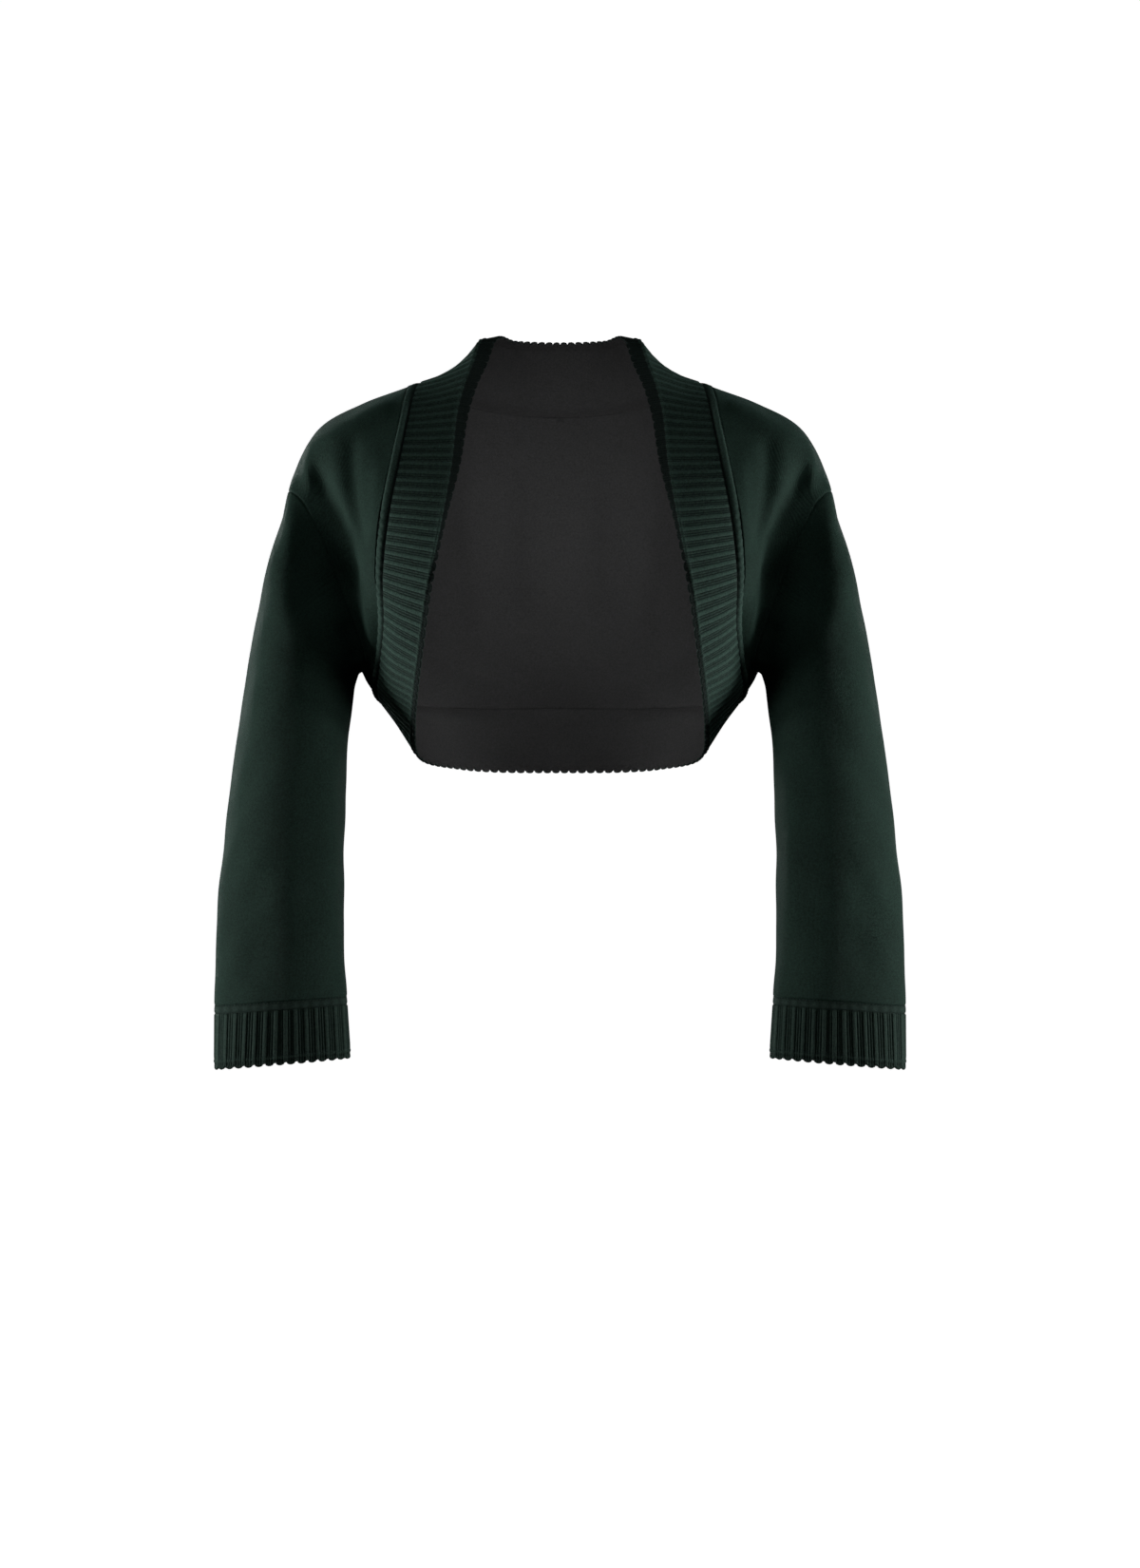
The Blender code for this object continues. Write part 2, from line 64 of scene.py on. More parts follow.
# %% The opening, from centre back neck to centre back hem
OPENING_COLUMNS = "turn welt_x welt_y welt_z ridge_x ridge_y ridge_z edge_x edge_y edge_z dip"
OPENING_TABLE = {
    "centre_neck": (-70, 0, 92, -26, 0, 70, 32, 0, 67, 38, 0),
    "neck_back": (-42, 62, 82, -21, 46, 58, 33, 40, 56, 39, 1),
    "neck_side": (-18, 109, 52, -10, 70, 31, 39, 57, 34, 41, 4),
    "shoulder": (0, 133, 10, -3, 78.5, 4, 17, 66, 12, 16, 2),
    "collar": (14, 137.5, -14, -14, 85.5, -13, -2, 74, -4, -3, 2),
    "collar_front": (28, 140, -33, -30, 91, -29, -24, 80.5, -20, -25, 1),
    "yoke": (52, 148.5, -56, -72, 96, -62, -73, 88, -53, -74, 0),
    "chest": (76, 157.5, -70, -122, 105, -90, -128, 101, -86, -129, -1),
    "bust": (100, 161, -68, -170, 116, -101, -184, 113, -103, -185, -2),
    "low": (130, 159, -54, -213, 123, -95, -238, 121, -97, -241, -3),
    "side_front": (155, 162, -29, -246, 128, -70, -273, 126, -71, -277, -5),
    "side": (180, 167, 8, -267, 131, -24, -303, 129, -26, -307, -1),
    "hem_side": (205, 157, 50, -281, 128, 40, -328, 126, 40, -332, 1),
    "hem_back": (225, 112, 95, -287, 92, 92, -336, 91, 91, -341, 0),
    "centre_hem": (240, 0, 116, -288, 0, 112, -339, 0, 111, -344, -1),
}

# %% Where each panel turns back towards the sleeve
FOLD_COLUMNS = "turn fold_x fold_y fold_z fullness"
FOLD_TABLE = {
    "shoulder": (0, 214, 6, -42, 4),
    "collar": (25, 221, -20, -64, 5),
    "yoke": (50, 212, -29, -93, 2),
    "lip": (63, 199, -37, -118, 1),
    "chest": (75, 186, -46, -139, 1),
    "bust": (100, 177.5, -48, -173, 1),
    "low": (130, 169.5, -51, -209, 0.5),
    "side_front": (155, 163.5, -31, -242, 0),
    "side": (180, 171, 6, -263, 0),
    "hem_side": (205, 174, 43, -256, 1),
    "hem_back": (225, 181, 62, -236, 3),
    "hem_middle": (232.5, 183, 68, -224, 6),
    "centre_hem": (240, 184.5, 72.5, -211, 10.5),
    "blade_low": (255, 187, 78, -180, 13),
    "blade": (270, 190, 80, -145, 14),
    "blade_high": (290, 197, 68, -105, 12),
    "neck_back": (325, 207, 36, -62, 9),
}

# Each panel bulges away from the point CORE, and the bulge is flatter in height by CORE_RISE.
CORE, CORE_RISE = (110, 15, -160), 0.8

# %% The centre back line and the rings round the sleeve
CENTRE_BACK_LEAN = -0.09
CENTRE_BACK_COLUMN_NAMES = "turn depth height"
CENTRE_BACK_TABLE = {
    "hem": (240, 116, -288),
    "waist": (255, 112, -215),
    "blades": (270, 103, -140),
    "nape": (290, 92, -26),
}
RING_COLUMNS = "outer_x outer_z inner_x inner_z middle_y front back pull square"
RING_TABLE = {
    "armhole": (240.5, -97, 176.5, -256, 5, 39, 50, 13, 3.1),
    "cap": (250, -143, 181, -266, 6, 53, 59, -12, 2.7),
    "bicep": (265.5, -200, 183.5, -281, 6, 56, 63, -8, 2.0),
    "upper": (276.5, -254, 185, -295, 6, 58, 62, -3, 2.0),
    "elbow": (288, -330, 188.5, -335, 4, 55, 58, 2, 2.0),
    "forearm": (297, -404, 190.5, -405, 0, 48, 50, 2, 1.9),
    "wrist": (303.5, -478, 191, -476, -4, 40, 40, 3, 1.8),
    "cuff_top": (305, -551, 188.6, -543, -6, 33, 31, 2, 1.8),
    "cuff_bottom": (305.3, -605, 185.2, -595, -7, 30, 28, 0, 1.9),
}


def named(columns, rows):
    """The rows as arrays, one for each named column."""
    return dict(zip(columns.split(), np.array(list(rows.values()), float).T))


OPENING = named(OPENING_COLUMNS, OPENING_TABLE)
FOLD = named(FOLD_COLUMNS, FOLD_TABLE)
CENTRE_BACK = named(CENTRE_BACK_COLUMN_NAMES, CENTRE_BACK_TABLE)
RINGS = {ring: dict(zip(RING_COLUMNS.split(), row)) for ring, row in RING_TABLE.items()}
print(f"opening drawn from {len(OPENING['turn'])} stations, sleeve from {len(RINGS)} rings")

# %% [markdown]
# ## Smooth lines
# Cloth has no corners between the listed points. A NURBS curve would be smooth too, but it misses the points
# it is given, so the lines here are cubics that pass through them.


# %% Curves through points
def points_of(columns, name):
    """The named line's three columns as points."""
    return np.stack([columns[f"{name}_{axis}"] for axis in "xyz"], axis=1)


def unit(vectors):
    return vectors / np.linalg.norm(vectors, axis=-1, keepdims=True)


def distance_along(points, axis=0):
    """Length from the first point to each point, along a row of points."""
    steps = np.linalg.norm(np.diff(points, axis=axis), axis=-1)
    return np.insert(np.cumsum(steps, axis=axis), 0, 0, axis=axis)


def cubic(values, step, i, t):
    """a(1 - s) + bs + h(pt(1 - t)^2 - qt^2(1 - t)) from value a to the next one, b, over a step h.

    s is t^2(3 - 2t). The tangents p and q weigh the slopes before and after a value by each other's steps.
    """
    slope = np.diff(values, axis=0) / step
    middle = (slope[:-1] * step[1:] + slope[1:] * step[:-1]) / (step[:-1] + step[1:])
    tangent = np.concatenate([slope[:1], middle, slope[-1:]])
    rise = t * t * (3 - 2 * t)
    bend = tangent[i] * t * (1 - t) ** 2 - tangent[i + 1] * t * t * (1 - t)
    return values[i] * (1 - rise) + values[i + 1] * rise + step[i] * bend


def curve(knots, values, at):
    """The cubic through the values, read at places on the line whose knots say where each value lies."""
    knots = np.asarray(knots, float)
    values = np.asarray(values, float).reshape(len(knots), -1)
    step = np.diff(knots)[:, None]
    i = np.clip(np.searchsorted(knots, at, side="right") - 1, 0, len(step) - 1)
    return cubic(values, step, i, ((at - knots[i]) / step[i, 0])[:, None])


def between(rings, position):
    """The cubic across a stack of rings: 1.5 is halfway from the second ring to the third."""
    step = np.sqrt(np.linalg.norm(np.diff(rings, axis=0), axis=2, keepdims=True))
    i = int(min(np.floor(position), len(step) - 1))
    return cubic(rings, step, i, position - i)


# %% The lines of the opening
KNOTS = distance_along((points_of(OPENING, "welt") + points_of(OPENING, "ridge")) / 2)
HALF_RIBS = BAND_RIBS // 2
RIB_PITCH = KNOTS[-1] / HALF_RIBS
HALF_WIDTH = np.linalg.norm(points_of(OPENING, "ridge") - points_of(OPENING, "welt"), axis=1).mean() / 2

# Positions across the band: 0 at the welt, 1 in the middle.
RIDGE, EDGE = 2, 3


def on_left(rib):
    """Whether each rib number lies on the wearer's left half."""
    return (rib % BAND_RIBS <= HALF_RIBS)[:, None]


def length_at(rib):
    """Length along the opening from the centre back neck, the same on both halves."""
    return np.minimum(rib % BAND_RIBS, BAND_RIBS - rib % BAND_RIBS) * RIB_PITCH


def opening_line(name, rib):
    """The named line at rib numbers from 0 to BAND_RIBS, the second half mirrored."""
    rows = points_of(OPENING, name)
    rows = np.concatenate([rows[2:0:-1] * FLIP_X, rows, rows[-2:-4:-1] * FLIP_X])
    knots = np.concatenate([-KNOTS[2:0:-1], KNOTS, 2 * KNOTS[-1] - KNOTS[-2:-4:-1]])
    points = curve(knots, rows, length_at(rib))
    return np.where(on_left(rib), points, points * FLIP_X)


def band_surface(rib, position):
    """The band under its ribs: the cubic through welt, sunken middle, ridge and edge."""
    welt, ridge, edge = (opening_line(name, rib) for name in ("welt", "ridge", "edge"))
    along = opening_line("welt", rib + STEP) - opening_line("welt", rib - STEP)
    dip = curve(KNOTS, OPENING["dip"], length_at(rib))
    sunk = (welt + ridge) / 2 + unit(np.cross(along, ridge - welt)) * dip
    if position > RIDGE:
        return ridge + (edge - ridge) * (position - RIDGE)
    return between(np.stack([welt, sunk, ridge]), position)


print(f"{BAND_RIBS} ribs, one every {RIB_PITCH:.2f} mm")


# %% The surface of body and sleeve
def turn_at(rib):
    """The angle round the arm that belongs to each rib: 0 at the shoulder, 180 at the side."""
    return curve(KNOTS, OPENING["turn"], length_at(rib))[:, 0]


def ring_points(ring, turn):
    """A squared ellipse: cos and sin of the turn, raised to 2 / square, on the ring's two half widths."""
    row = RINGS[ring]
    outer = np.array([row["outer_x"], row["middle_y"], row["outer_z"]])
    inner = np.array([row["inner_x"], row["middle_y"], row["inner_z"]])
    cos, sin = np.cos(np.radians(turn)), np.sin(np.radians(turn))
    cos = np.sign(cos) * np.abs(cos) ** (2 / row["square"])
    depth = np.abs(sin) ** (2 / row["square"])
    points = (outer + inner) / 2 + cos[:, None] * (outer - inner) / 2
    points[:, 1] -= np.where(sin > 0, row["front"], -row["back"]) * depth
    points[:, 0] -= np.where(sin > 0, row["pull"], 0) * depth
    return points


def fold_at(turn):
    """The panel's fold and its fullness at each angle, on a curve that closes after 360 degrees."""
    values = np.column_stack([points_of(FOLD, "fold"), FOLD["fullness"]])
    knots = np.concatenate([FOLD["turn"] - 360, FOLD["turn"], FOLD["turn"] + 360])
    found = curve(knots, np.tile(values, (3, 1)), turn % 360)
    return found[:, :3], found[:, 3:]


# Positions down the body and sleeve: 0 at the band, 2 at the fold, then one for each ring.
ARMHOLE = 3
CUFF_TOP = ARMHOLE + list(RINGS).index("cuff_top")
CUFF_BOTTOM = ARMHOLE + list(RINGS).index("cuff_bottom")


def body_surface(turn, inner, position):
    """The cubic from the opening over the panel's fullest line and its fold, then down the sleeve's rings.

    A ring before the opening makes the cubic leave the centre back line at the lean of that line.
    """
    fold, fullness = fold_at(turn)
    middle = (inner + fold) / 2
    across = unit(fold - inner)
    away = (middle - CORE) * (1, 1, 1 - CORE_RISE)
    away = unit(away - np.sum(away * across, axis=1, keepdims=True) * across)
    middle += away * fullness
    before = 2 * inner - middle
    level = (middle[:, 0] - inner[:, 0]) / (middle[:, 0] + inner[:, 0])
    rise = middle[:, 2] - inner[:, 2]
    before[:, 1] += 2 * level * (middle[:, 1] - inner[:, 1] - CENTRE_BACK_LEAN * rise)
    rings = [before, inner, middle, fold] + [ring_points(ring, turn) for ring in RINGS]
    return between(np.stack(rings), position + 1)


# %% Columns round the arm
def rib_at_turn(turn):
    """The nearest rib number to an angle that starts a column."""
    rib = np.interp(turn, OPENING["turn"], KNOTS) / RIB_PITCH
    return int(round(rib / RIBS_PER_COLUMN)) * RIBS_PER_COLUMN


SHOULDER_RIB, SIDE_RIB = rib_at_turn(0), rib_at_turn(180)
SIDE_COLUMN = (SIDE_RIB - SHOULDER_RIB) // RIBS_PER_COLUMN
HEM_COLUMN = (HALF_RIBS - SHOULDER_RIB) // RIBS_PER_COLUMN
NECK_COLUMN = HEM_COLUMN + CENTRE_BACK_COLUMNS
COLUMNS = NECK_COLUMN + SHOULDER_RIB // RIBS_PER_COLUMN


def rib_of(column):
    """The rib number where a column starts on the opening; on the centre back line it means nothing."""
    front = SHOULDER_RIB + column * RIBS_PER_COLUMN
    return np.where(column <= HEM_COLUMN, front, (column - NECK_COLUMN) * RIBS_PER_COLUMN).astype(float)


def on_centre_line(column):
    column = column % COLUMNS
    return (column > HEM_COLUMN) & (column < NECK_COLUMN)


def start_of(column):
    """Angle and innermost point of each column."""
    column = column % COLUMNS
    rib = np.clip(rib_of(column), 0, HALF_RIBS)
    low, high = CENTRE_BACK["turn"][[0, -1]]
    centre_turn = low + (high - low) * (column - HEM_COLUMN) / CENTRE_BACK_COLUMNS
    depth_height = np.column_stack([CENTRE_BACK["depth"], CENTRE_BACK["height"]])
    centre = curve(CENTRE_BACK["turn"], depth_height, centre_turn)
    centre = np.column_stack([np.zeros(len(column)), centre])
    on_centre = on_centre_line(column)
    turn = np.where(on_centre, centre_turn, turn_at(rib) % 360)
    return turn, np.where(on_centre[:, None], centre, opening_line("welt", rib))


print(f"{COLUMNS} columns round each arm, side seam on {SIDE_COLUMN}, hem's centre on {HEM_COLUMN}")


# %% [markdown]
# ## Which way is out
# A wall of cloth needs its outward direction at each point, to give it thickness, ribs and folds. Blender's
# own normals exist only once a mesh does, so the direction here is the cross product of two short steps on
# the surface.


# %% Outward directions
def centred(vectors, points):
    """The vectors, with no sideways part where their points lie on the centre plane."""
    return vectors * np.where(np.abs(points[..., :1]) < 1e-6, (0, 1, 1), (1, 1, 1))


def seam_normal(rib):
    """The outward direction where band and body meet, which both share so that they meet squarely."""
    welt = opening_line("welt", rib)
    along = opening_line("welt", rib + STEP) - opening_line("welt", rib - STEP)
    side = np.where(on_left(rib), 1, FLIP_X)
    panel = side * body_surface(turn_at(rib), side * welt, BESIDE)
    across = unit(band_surface(rib, BESIDE) - welt) - unit(panel - welt)
    return unit(centred(np.cross(across, along), welt))


SEAM_BLEND = 0.1


def towards_seam(out, seam, positions):
    """The directions, turned into the seam's own over the first tenth of the way across."""
    share = np.clip(1 - np.asarray(positions) / SEAM_BLEND, 0, 1)[:, None, None]
    return unit(out * (1 - share) + seam * share)


def band_grid(rib, positions):
    """Points and outward directions of the plain band, one row for each position."""
    points, out = [], []
    for position in positions:
        along = band_surface(rib + STEP, position) - band_surface(rib - STEP, position)
        ahead, behind = min(position + STEP, EDGE), max(position - STEP, 0)
        out.append(unit(np.cross(band_surface(rib, ahead) - band_surface(rib, behind), along)))
        points.append(band_surface(rib, position))
    return np.array(points), towards_seam(np.array(out), seam_normal(rib), positions)


def body_grid(column, positions):
    """Points and outward directions of body and sleeve, one row for each position."""
    starts = [start_of(column + step) for step in (0, STEP, -STEP)]
    points, out = [], []
    for position in positions:
        here, ahead, behind = (body_surface(*start, position) for start in starts)
        beyond = body_surface(*starts[0], min(position + STEP, CUFF_BOTTOM))
        across = beyond - body_surface(*starts[0], max(position - STEP, 0))
        out.append(unit(centred(np.cross(ahead - behind, across), here)))
        points.append(here)
    points, out = np.array(points), np.array(out)
    on_band = ~on_centre_line(column)
    seam = seam_normal(np.clip(rib_of(column[on_band] % COLUMNS), 0, HALF_RIBS))
    out[:, on_band] = towards_seam(out[:, on_band], seam, positions)
    return points, out


# %% [markdown]
# ## Folds
# Fine knit hangs in a few long soft folds, not in sharp creases. A cloth simulation would place them by
# chance. They are listed here instead: each is a line on the surface, and the cloth rises or sinks
# beside it by a bell curve of the distance, fading out towards both ends.

# %% The folds: side, height and width in millimetres, and the line's points (x, z) seen from the front
FOLDS = [
    # Beside the band the panel has a crest, a trough and a second crest.
    ("front", 2.0, 9, [(160, -55), (161, -90), (160, -130), (158, -175), (158, -200)]),
    ("front", -2.9, 8, [(180, -45), (181, -82), (180, -104), (177, -125), (171, -155)]),
    ("front", 2.0, 9, [(202, -58), (195, -88), (188, -110), (184, -135)]),
    # The valley between the panel and the head of the sleeve, and the sleeve's own fullness beside it.
    (
        "front", -4.4, 8,
        [(219, -56), (214, -80), (206, -100), (196, -120), (188, -140), (184, -165), (182, -200)],
    ),
    ("front", -5.2, 16, [(222, -66), (216, -96), (206, -122), (197, -142), (190, -168), (186, -205)]),
    ("front", 4.0, 9, [(235, -74), (236, -100), (237, -130), (239, -170)]),
    # The top of the shoulder is fuller in front than a straight slope.
    ("front", 3.2, 19, [(140, -20), (172, -36), (194, -50), (212, -68)]),
    # A short crease in the corner under the arm.
    ("front", -1.8, 7, [(190, -214), (184, -232), (176, -250)]),
    # Long troughs and crests down the front of the sleeve.
    ("front", -1.6, 18, [(210, -220), (219, -270), (223, -340), (221, -420), (219, -480)]),
    ("front", 1.2, 13, [(198, -290), (204, -350), (205, -430), (204, -520)]),
    ("front", 1.8, 18, [(250, -170), (262, -260), (270, -350)]),
    ("front", -1.2, 14, [(262, -420), (268, -480), (270, -540)]),
    ("front", 0.8, 12, [(240, -440), (243, -480), (243, -520), (242, -552)]),
    # The back: from the arms towards the waist, and down the sleeve, with the gathers behind the elbow.
    ("back", 3.4, 15, [(196, -120), (170, -170), (140, -225), (118, -270)]),
    ("back", -3.8, 13, [(186, -165), (160, -205), (138, -250), (128, -275)]),
    ("back", 2.8, 14, [(40, -60), (46, -110), (44, -170), (36, -230)]),
    ("back", -2.8, 13, [(78, -50), (84, -110), (80, -180), (66, -250)]),
    ("back", -3.8, 12, [(206, -170), (216, -240), (222, -320), (220, -400)]),
    ("back", 3.2, 13, [(236, -200), (248, -280), (256, -350)]),
    ("back", -2.8, 9, [(200, -318), (232, -330), (266, -352)]),
    ("back", 2.4, 9, [(200, -340), (230, -356), (262, -384)]),
    ("back", -2.6, 12, [(238, -400), (246, -460), (246, -530)]),
    ("back", 2.2, 11, [(212, -420), (214, -480), (212, -540)]),
]
FOLD_FADE, FACING, RIPPLE = 0.25, 0.05, 0.22


# %% Fold lines laid on the surface
def laid(side, line):
    """The line's points moved in depth onto the body: each takes the nearest point that faces this side."""
    faces_side = BODY_OUT[:, 1] * (-1 if side == "front" else 1) > FACING
    shown = BODY[faces_side]
    gaps = np.sum((shown[None, :, ::2] - np.array(line)[:, None]) ** 2, axis=-1)
    return shown[np.argmin(gaps, axis=1)]


plain_surface = body_grid(np.arange(0, COLUMNS, 0.5), np.arange(0, CUFF_BOTTOM, 0.05))
BODY, BODY_OUT = (grid.reshape(-1, 3) for grid in plain_surface)
FOLD_LINES = [(height, width, laid(side, line)) for side, height, width, line in FOLDS]


# %% Height of the folds
def bell(distance, width):
    """exp(-(d / width)^2)."""
    return np.exp(-((distance / width) ** 2))


def smooth_step(value, low, high):
    """t^2(3 - 2t), where t goes from 0 at low to 1 at high."""
    t = np.clip((value - low) / (high - low), 0, 1)
    return t * t * (3 - 2 * t)


def fold_height(points):
    """Sum of height x bell(d, width), where d is the distance to the fold's line, faded at its ends."""
    total = np.zeros(points.shape[:-1])
    for height, width, line in FOLD_LINES:
        lengths = distance_along(line)
        nearest, place = np.full(total.shape, np.inf), np.zeros(total.shape)
        for start, end, before in zip(line, line[1:], lengths):
            way = end - start
            t = np.clip((points - start) @ way / (way @ way), 0, 1)
            gap = np.linalg.norm(points - start - t[..., None] * way, axis=-1)
            place = np.where(gap < nearest, (before + t * np.linalg.norm(way)) / lengths[-1], place)
            nearest = np.minimum(nearest, gap)
        total += height * bell(nearest, width) * smooth_step(np.minimum(place, 1 - place), 0, FOLD_FADE)
    return total


def ripple(points):
    """The slight unevenness of hanging knit: RIPPLE x three crossing sine waves, 45 to 90 mm long."""
    x, y, z = np.moveaxis(np.abs(points) * (1, 0, 0) + points * (0, 1, 1), -1, 0)
    waves = np.sin(x / 9.1 + z / 14.3) + np.sin(y / 7.7 - z / 11.9 + 1.3) + np.sin((x + y + z) / 8.3 + 0.4)
    return RIPPLE * waves


print(f"{len(FOLDS)} folds on each side of the garment")

# %% [markdown]
# ## A knitted wall
# Each piece is one closed thin wall: rows of points on its outside, then rows on its inside, joined edge to
# edge. The Solidify modifier could add the thickness, but it would carry the ribs through to the inside,
# which is plain.


# %% Walls from rows of points
def placed(name, data):
    """A new object of this mesh, light or camera, in the scene."""
    made = bpy.data.objects.new(name, data)
    bpy.context.scene.collection.objects.link(made)
    return made


def quads(rows, columns, around):
    """Corner numbers of every square of a grid whose last row joins its first."""
    last = columns if around else columns - 1
    row, column = np.meshgrid(np.arange(rows), np.arange(last), indexing="ij")
    corners = [(row, column), (row, column + 1), (row + 1, column + 1), (row + 1, column)]
    return np.stack(corners, axis=-1).transpose(1, 2, 3, 0).reshape(-1, 4, 2)


def knitted_wall(name, outside, inside, stitches, around=False, parted=None, painted_shading=None):
    """A closed mesh from (row, column, xyz) grids, with its stitch coordinates and the painted shade and
    highlight of its ribs.

    stitches is a (row, column, 2) grid for the outside rows, then the inside ones. parted marks columns whose
    first rows meet a mirrored half, so that no rim closes them. The faces of the inside take the second yarn.
    """
    points = np.concatenate([outside, inside[::-1]])
    rows, columns = points.shape[:2]
    grid = quads(rows, columns, around)
    number = (grid[..., 0] % rows) * columns + grid[..., 1] % columns
    stitches = np.concatenate([stitches[: len(outside)], stitches[len(outside) :][::-1]])
    stitches = np.concatenate([stitches, stitches[:1]])
    if around:
        stitches = np.concatenate([stitches, 2 * stitches[:, -1:] - stitches[:, -2:-1]], axis=1)
    uv = stitches[grid[..., 0], grid[..., 1]]
    on_inside = (grid[:, 0, 0] >= len(outside)) & (grid[:, 0, 0] < rows - 1)
    if parted is not None:
        rim = grid[:, 0, 0] == rows - 1
        kept = ~(rim & parted[grid[:, 0, 1]] & parted[(grid[:, 0, 1] + 1) % columns])
        number, uv, on_inside = number[kept], uv[kept], on_inside[kept]
    if not around:
        out_rows = np.arange(len(outside))
        in_rows = rows - 1 - out_rows
        for column, turned in ((0, 1), (columns - 1, -1)):
            ends = np.stack([out_rows[:-1], out_rows[1:], in_rows[1:], in_rows[:-1]], axis=1)[:, ::turned]
            number = np.concatenate([number, ends * columns + column])
            uv = np.concatenate([uv, stitches[ends, column]])
            on_inside = np.concatenate([on_inside, np.zeros(len(ends), bool)])
    points = points.reshape(-1, 3) * MM
    corners = points[number]
    volume = np.linalg.det(corners[:, :3]).sum() + np.linalg.det(corners[:, [0, 2, 3]]).sum()
    if volume < 0:
        number, uv = number[:, ::-1], uv[:, ::-1]
    mesh = bpy.data.meshes.new(name)
    mesh.from_pydata(points, [], number)
    mesh.uv_layers.new(name="stitches").uv.foreach_set("vector", uv.astype(np.float32).ravel())
    mesh.polygons.foreach_set("material_index", on_inside.astype(np.int32))
    # A per-point attribute of painted shade and highlight; the inside is left at full tone.
    if painted_shading is not None:
        painted_shading = np.concatenate([painted_shading, np.ones(inside.shape[:2])]).astype(np.float32)
        mesh.attributes.new("painted_shading", "FLOAT", "POINT").data.foreach_set("value", painted_shading.ravel())
    mesh.shade_smooth()
    return placed(name, mesh)


def cloth_area(points):
    """Area in square metres of a grid of points: half the cross product of each square's diagonals."""
    first, second = points[1:, 1:] - points[:-1, :-1], points[1:, :-1] - points[:-1, 1:]
    return np.linalg.norm(np.cross(first, second), axis=-1).sum() / 2 * MM * MM


# %% [markdown]
# ## Yarn
# From arm's length the cloth is a deep bottle green, matt, with a soft bloom where light grazes it. Close up
# it is stocking stitch: columns of small V-shaped loops. A tiled picture could show it, but a picture blurs
# and repeats, so the loops are worked out in the shader from stitch coordinates, and noise gives the yarn its
# heather and fuzz.


# %% Shader sums written as Python
class Socket:
    """A node's output that can be added, multiplied and so on, each time with a Math node."""

    def __init__(self, tree, output=None):
        self.tree, self.output = tree, output

    def node(self, kind, settings=(), inputs=(), output=0):
        """A new node: its settings first, then values or links for its sockets, and one of its outputs."""
        made = self.tree.nodes.new(kind)
        for key, value in dict(settings).items():
            setattr(made, key, value)
        for key, value in dict(inputs).items():
            if isinstance(value, Socket):
                self.tree.links.new(value.output, made.inputs[key])
            else:
                made.inputs[key].default_value = value
        return Socket(self.tree, made.outputs[output])

    def math(self, operation, *values):
        return self.node("ShaderNodeMath", {"operation": operation}, enumerate(values))

    def __add__(self, other):
        return self.math("ADD", self, other)

    def __mul__(self, other):
        return self.math("MULTIPLY", self, other)

    def __sub__(self, other):
        return self.math("SUBTRACT", self, other)

    def __rsub__(self, other):
        return self.math("SUBTRACT", other, self)

    __radd__, __rmul__ = __add__, __mul__

    def mixed(self, low, high):
        """The colour low where this is 0 and high where it is 1."""
        inputs = {0: self, 6: low, 7: high}
        return self.node("ShaderNodeMix", {"data_type": "RGBA"}, inputs, output=2)


def hump(value):
    """1 - (2f - 1)^2, where f is the value's fractional part: 0 at whole numbers and 1 halfway between."""
    centred_part = value.math("FRACT", value) * 2.0 - 1.0
    return 1.0 - centred_part * centred_part


# %% Loops of yarn
def v_loops(across, along):
    """Stocking stitch: each column has two legs, and both slant up from its middle."""
    from_middle = across.math("ABSOLUTE", across.math("FRACT", across) - 0.5) * 2.0
    strand = hump(along + from_middle * 0.5)
    return hump(from_middle) * (strand * 0.65 + 0.35)


def purl_loops(across, along):
    """The reverse side: rows of small arches, along + a quarter of cos(2 pi across)."""
    wave = across.math("COSINE", across * (2 * np.pi)) * 0.25
    return hump(along + wave)


def even_loops(across, along):
    """Twisted yarn without loops: 0.6 everywhere."""
    return across * 0.0 + 0.6


# Scale and detail of the noise in the yarn.
FUZZ, HEATHER, CLOUD = (1400.0, 2.0), (620.0, 3.0), (16.0, 2.0)
GREEN_BLOOM, CHARCOAL_BLOOM = (0.44, 0.8, 0.7, 1), (0.7, 0.7, 0.7, 1)


def yarn(name, dark, light, loops, ribbed=False, bloom=GREEN_BLOOM):
    """Matt yarn between two colours, with painted shade down between its loops and, on ribs, between the
    ribs.
    """
    material = bpy.data.materials.new(name)
    material.use_nodes = True
    tree = material.node_tree
    start = Socket(tree)
    place = start.node("ShaderNodeTexCoord", output="Object")
    stitches = start.node("ShaderNodeUVMap", {"uv_map": "stitches"})
    split = start.node("ShaderNodeSeparateXYZ", inputs={0: stitches}).output.node
    across, along = Socket(tree, split.outputs[0]), Socket(tree, split.outputs[1])
    fuzz, heather, cloud = (
        start.node("ShaderNodeTexNoise", inputs={"Vector": place, "Scale": scale, "Detail": detail})
        for scale, detail in (FUZZ, HEATHER, CLOUD)
    )
    height = loops(across, along)
    # height x 0.35 is painted shade: the colour darkens down between the loops.
    tone = (heather - 0.5) * 1.7 + (fuzz - 0.5) * 0.9 + (cloud - 0.5) * 0.5 + height * 0.35 + 0.33
    # On ribbed pieces a per-point attribute paints shade into grooves and onto the rolled edge, and a painted
    # highlight onto crests.
    if ribbed:
        painted_shading = start.node("ShaderNodeAttribute", {"attribute_name": "painted_shading"}, output="Fac")
        tone = tone * (painted_shading * 0.6 + 0.4) + (painted_shading - 0.45) * 0.6
    tone = start.node("ShaderNodeClamp", inputs={0: tone})
    shader = tree.nodes["Principled BSDF"]
    tree.links.new(tone.mixed(dark, light).output, shader.inputs["Base Color"])
    inputs = {"Strength": 0.5, "Distance": 0.0004, "Height": height + fuzz * 0.5}
    bump = start.node("ShaderNodeBump", inputs=inputs)
    tree.links.new(bump.output, shader.inputs["Normal"])
    shader.inputs["Roughness"].default_value = 0.85
    shader.inputs["Specular IOR Level"].default_value = 0.25
    shader.inputs["Sheen Weight"].default_value = 0.1
    shader.inputs["Sheen Roughness"].default_value = 0.4
    shader.inputs["Sheen Tint"].default_value = bloom
    return material


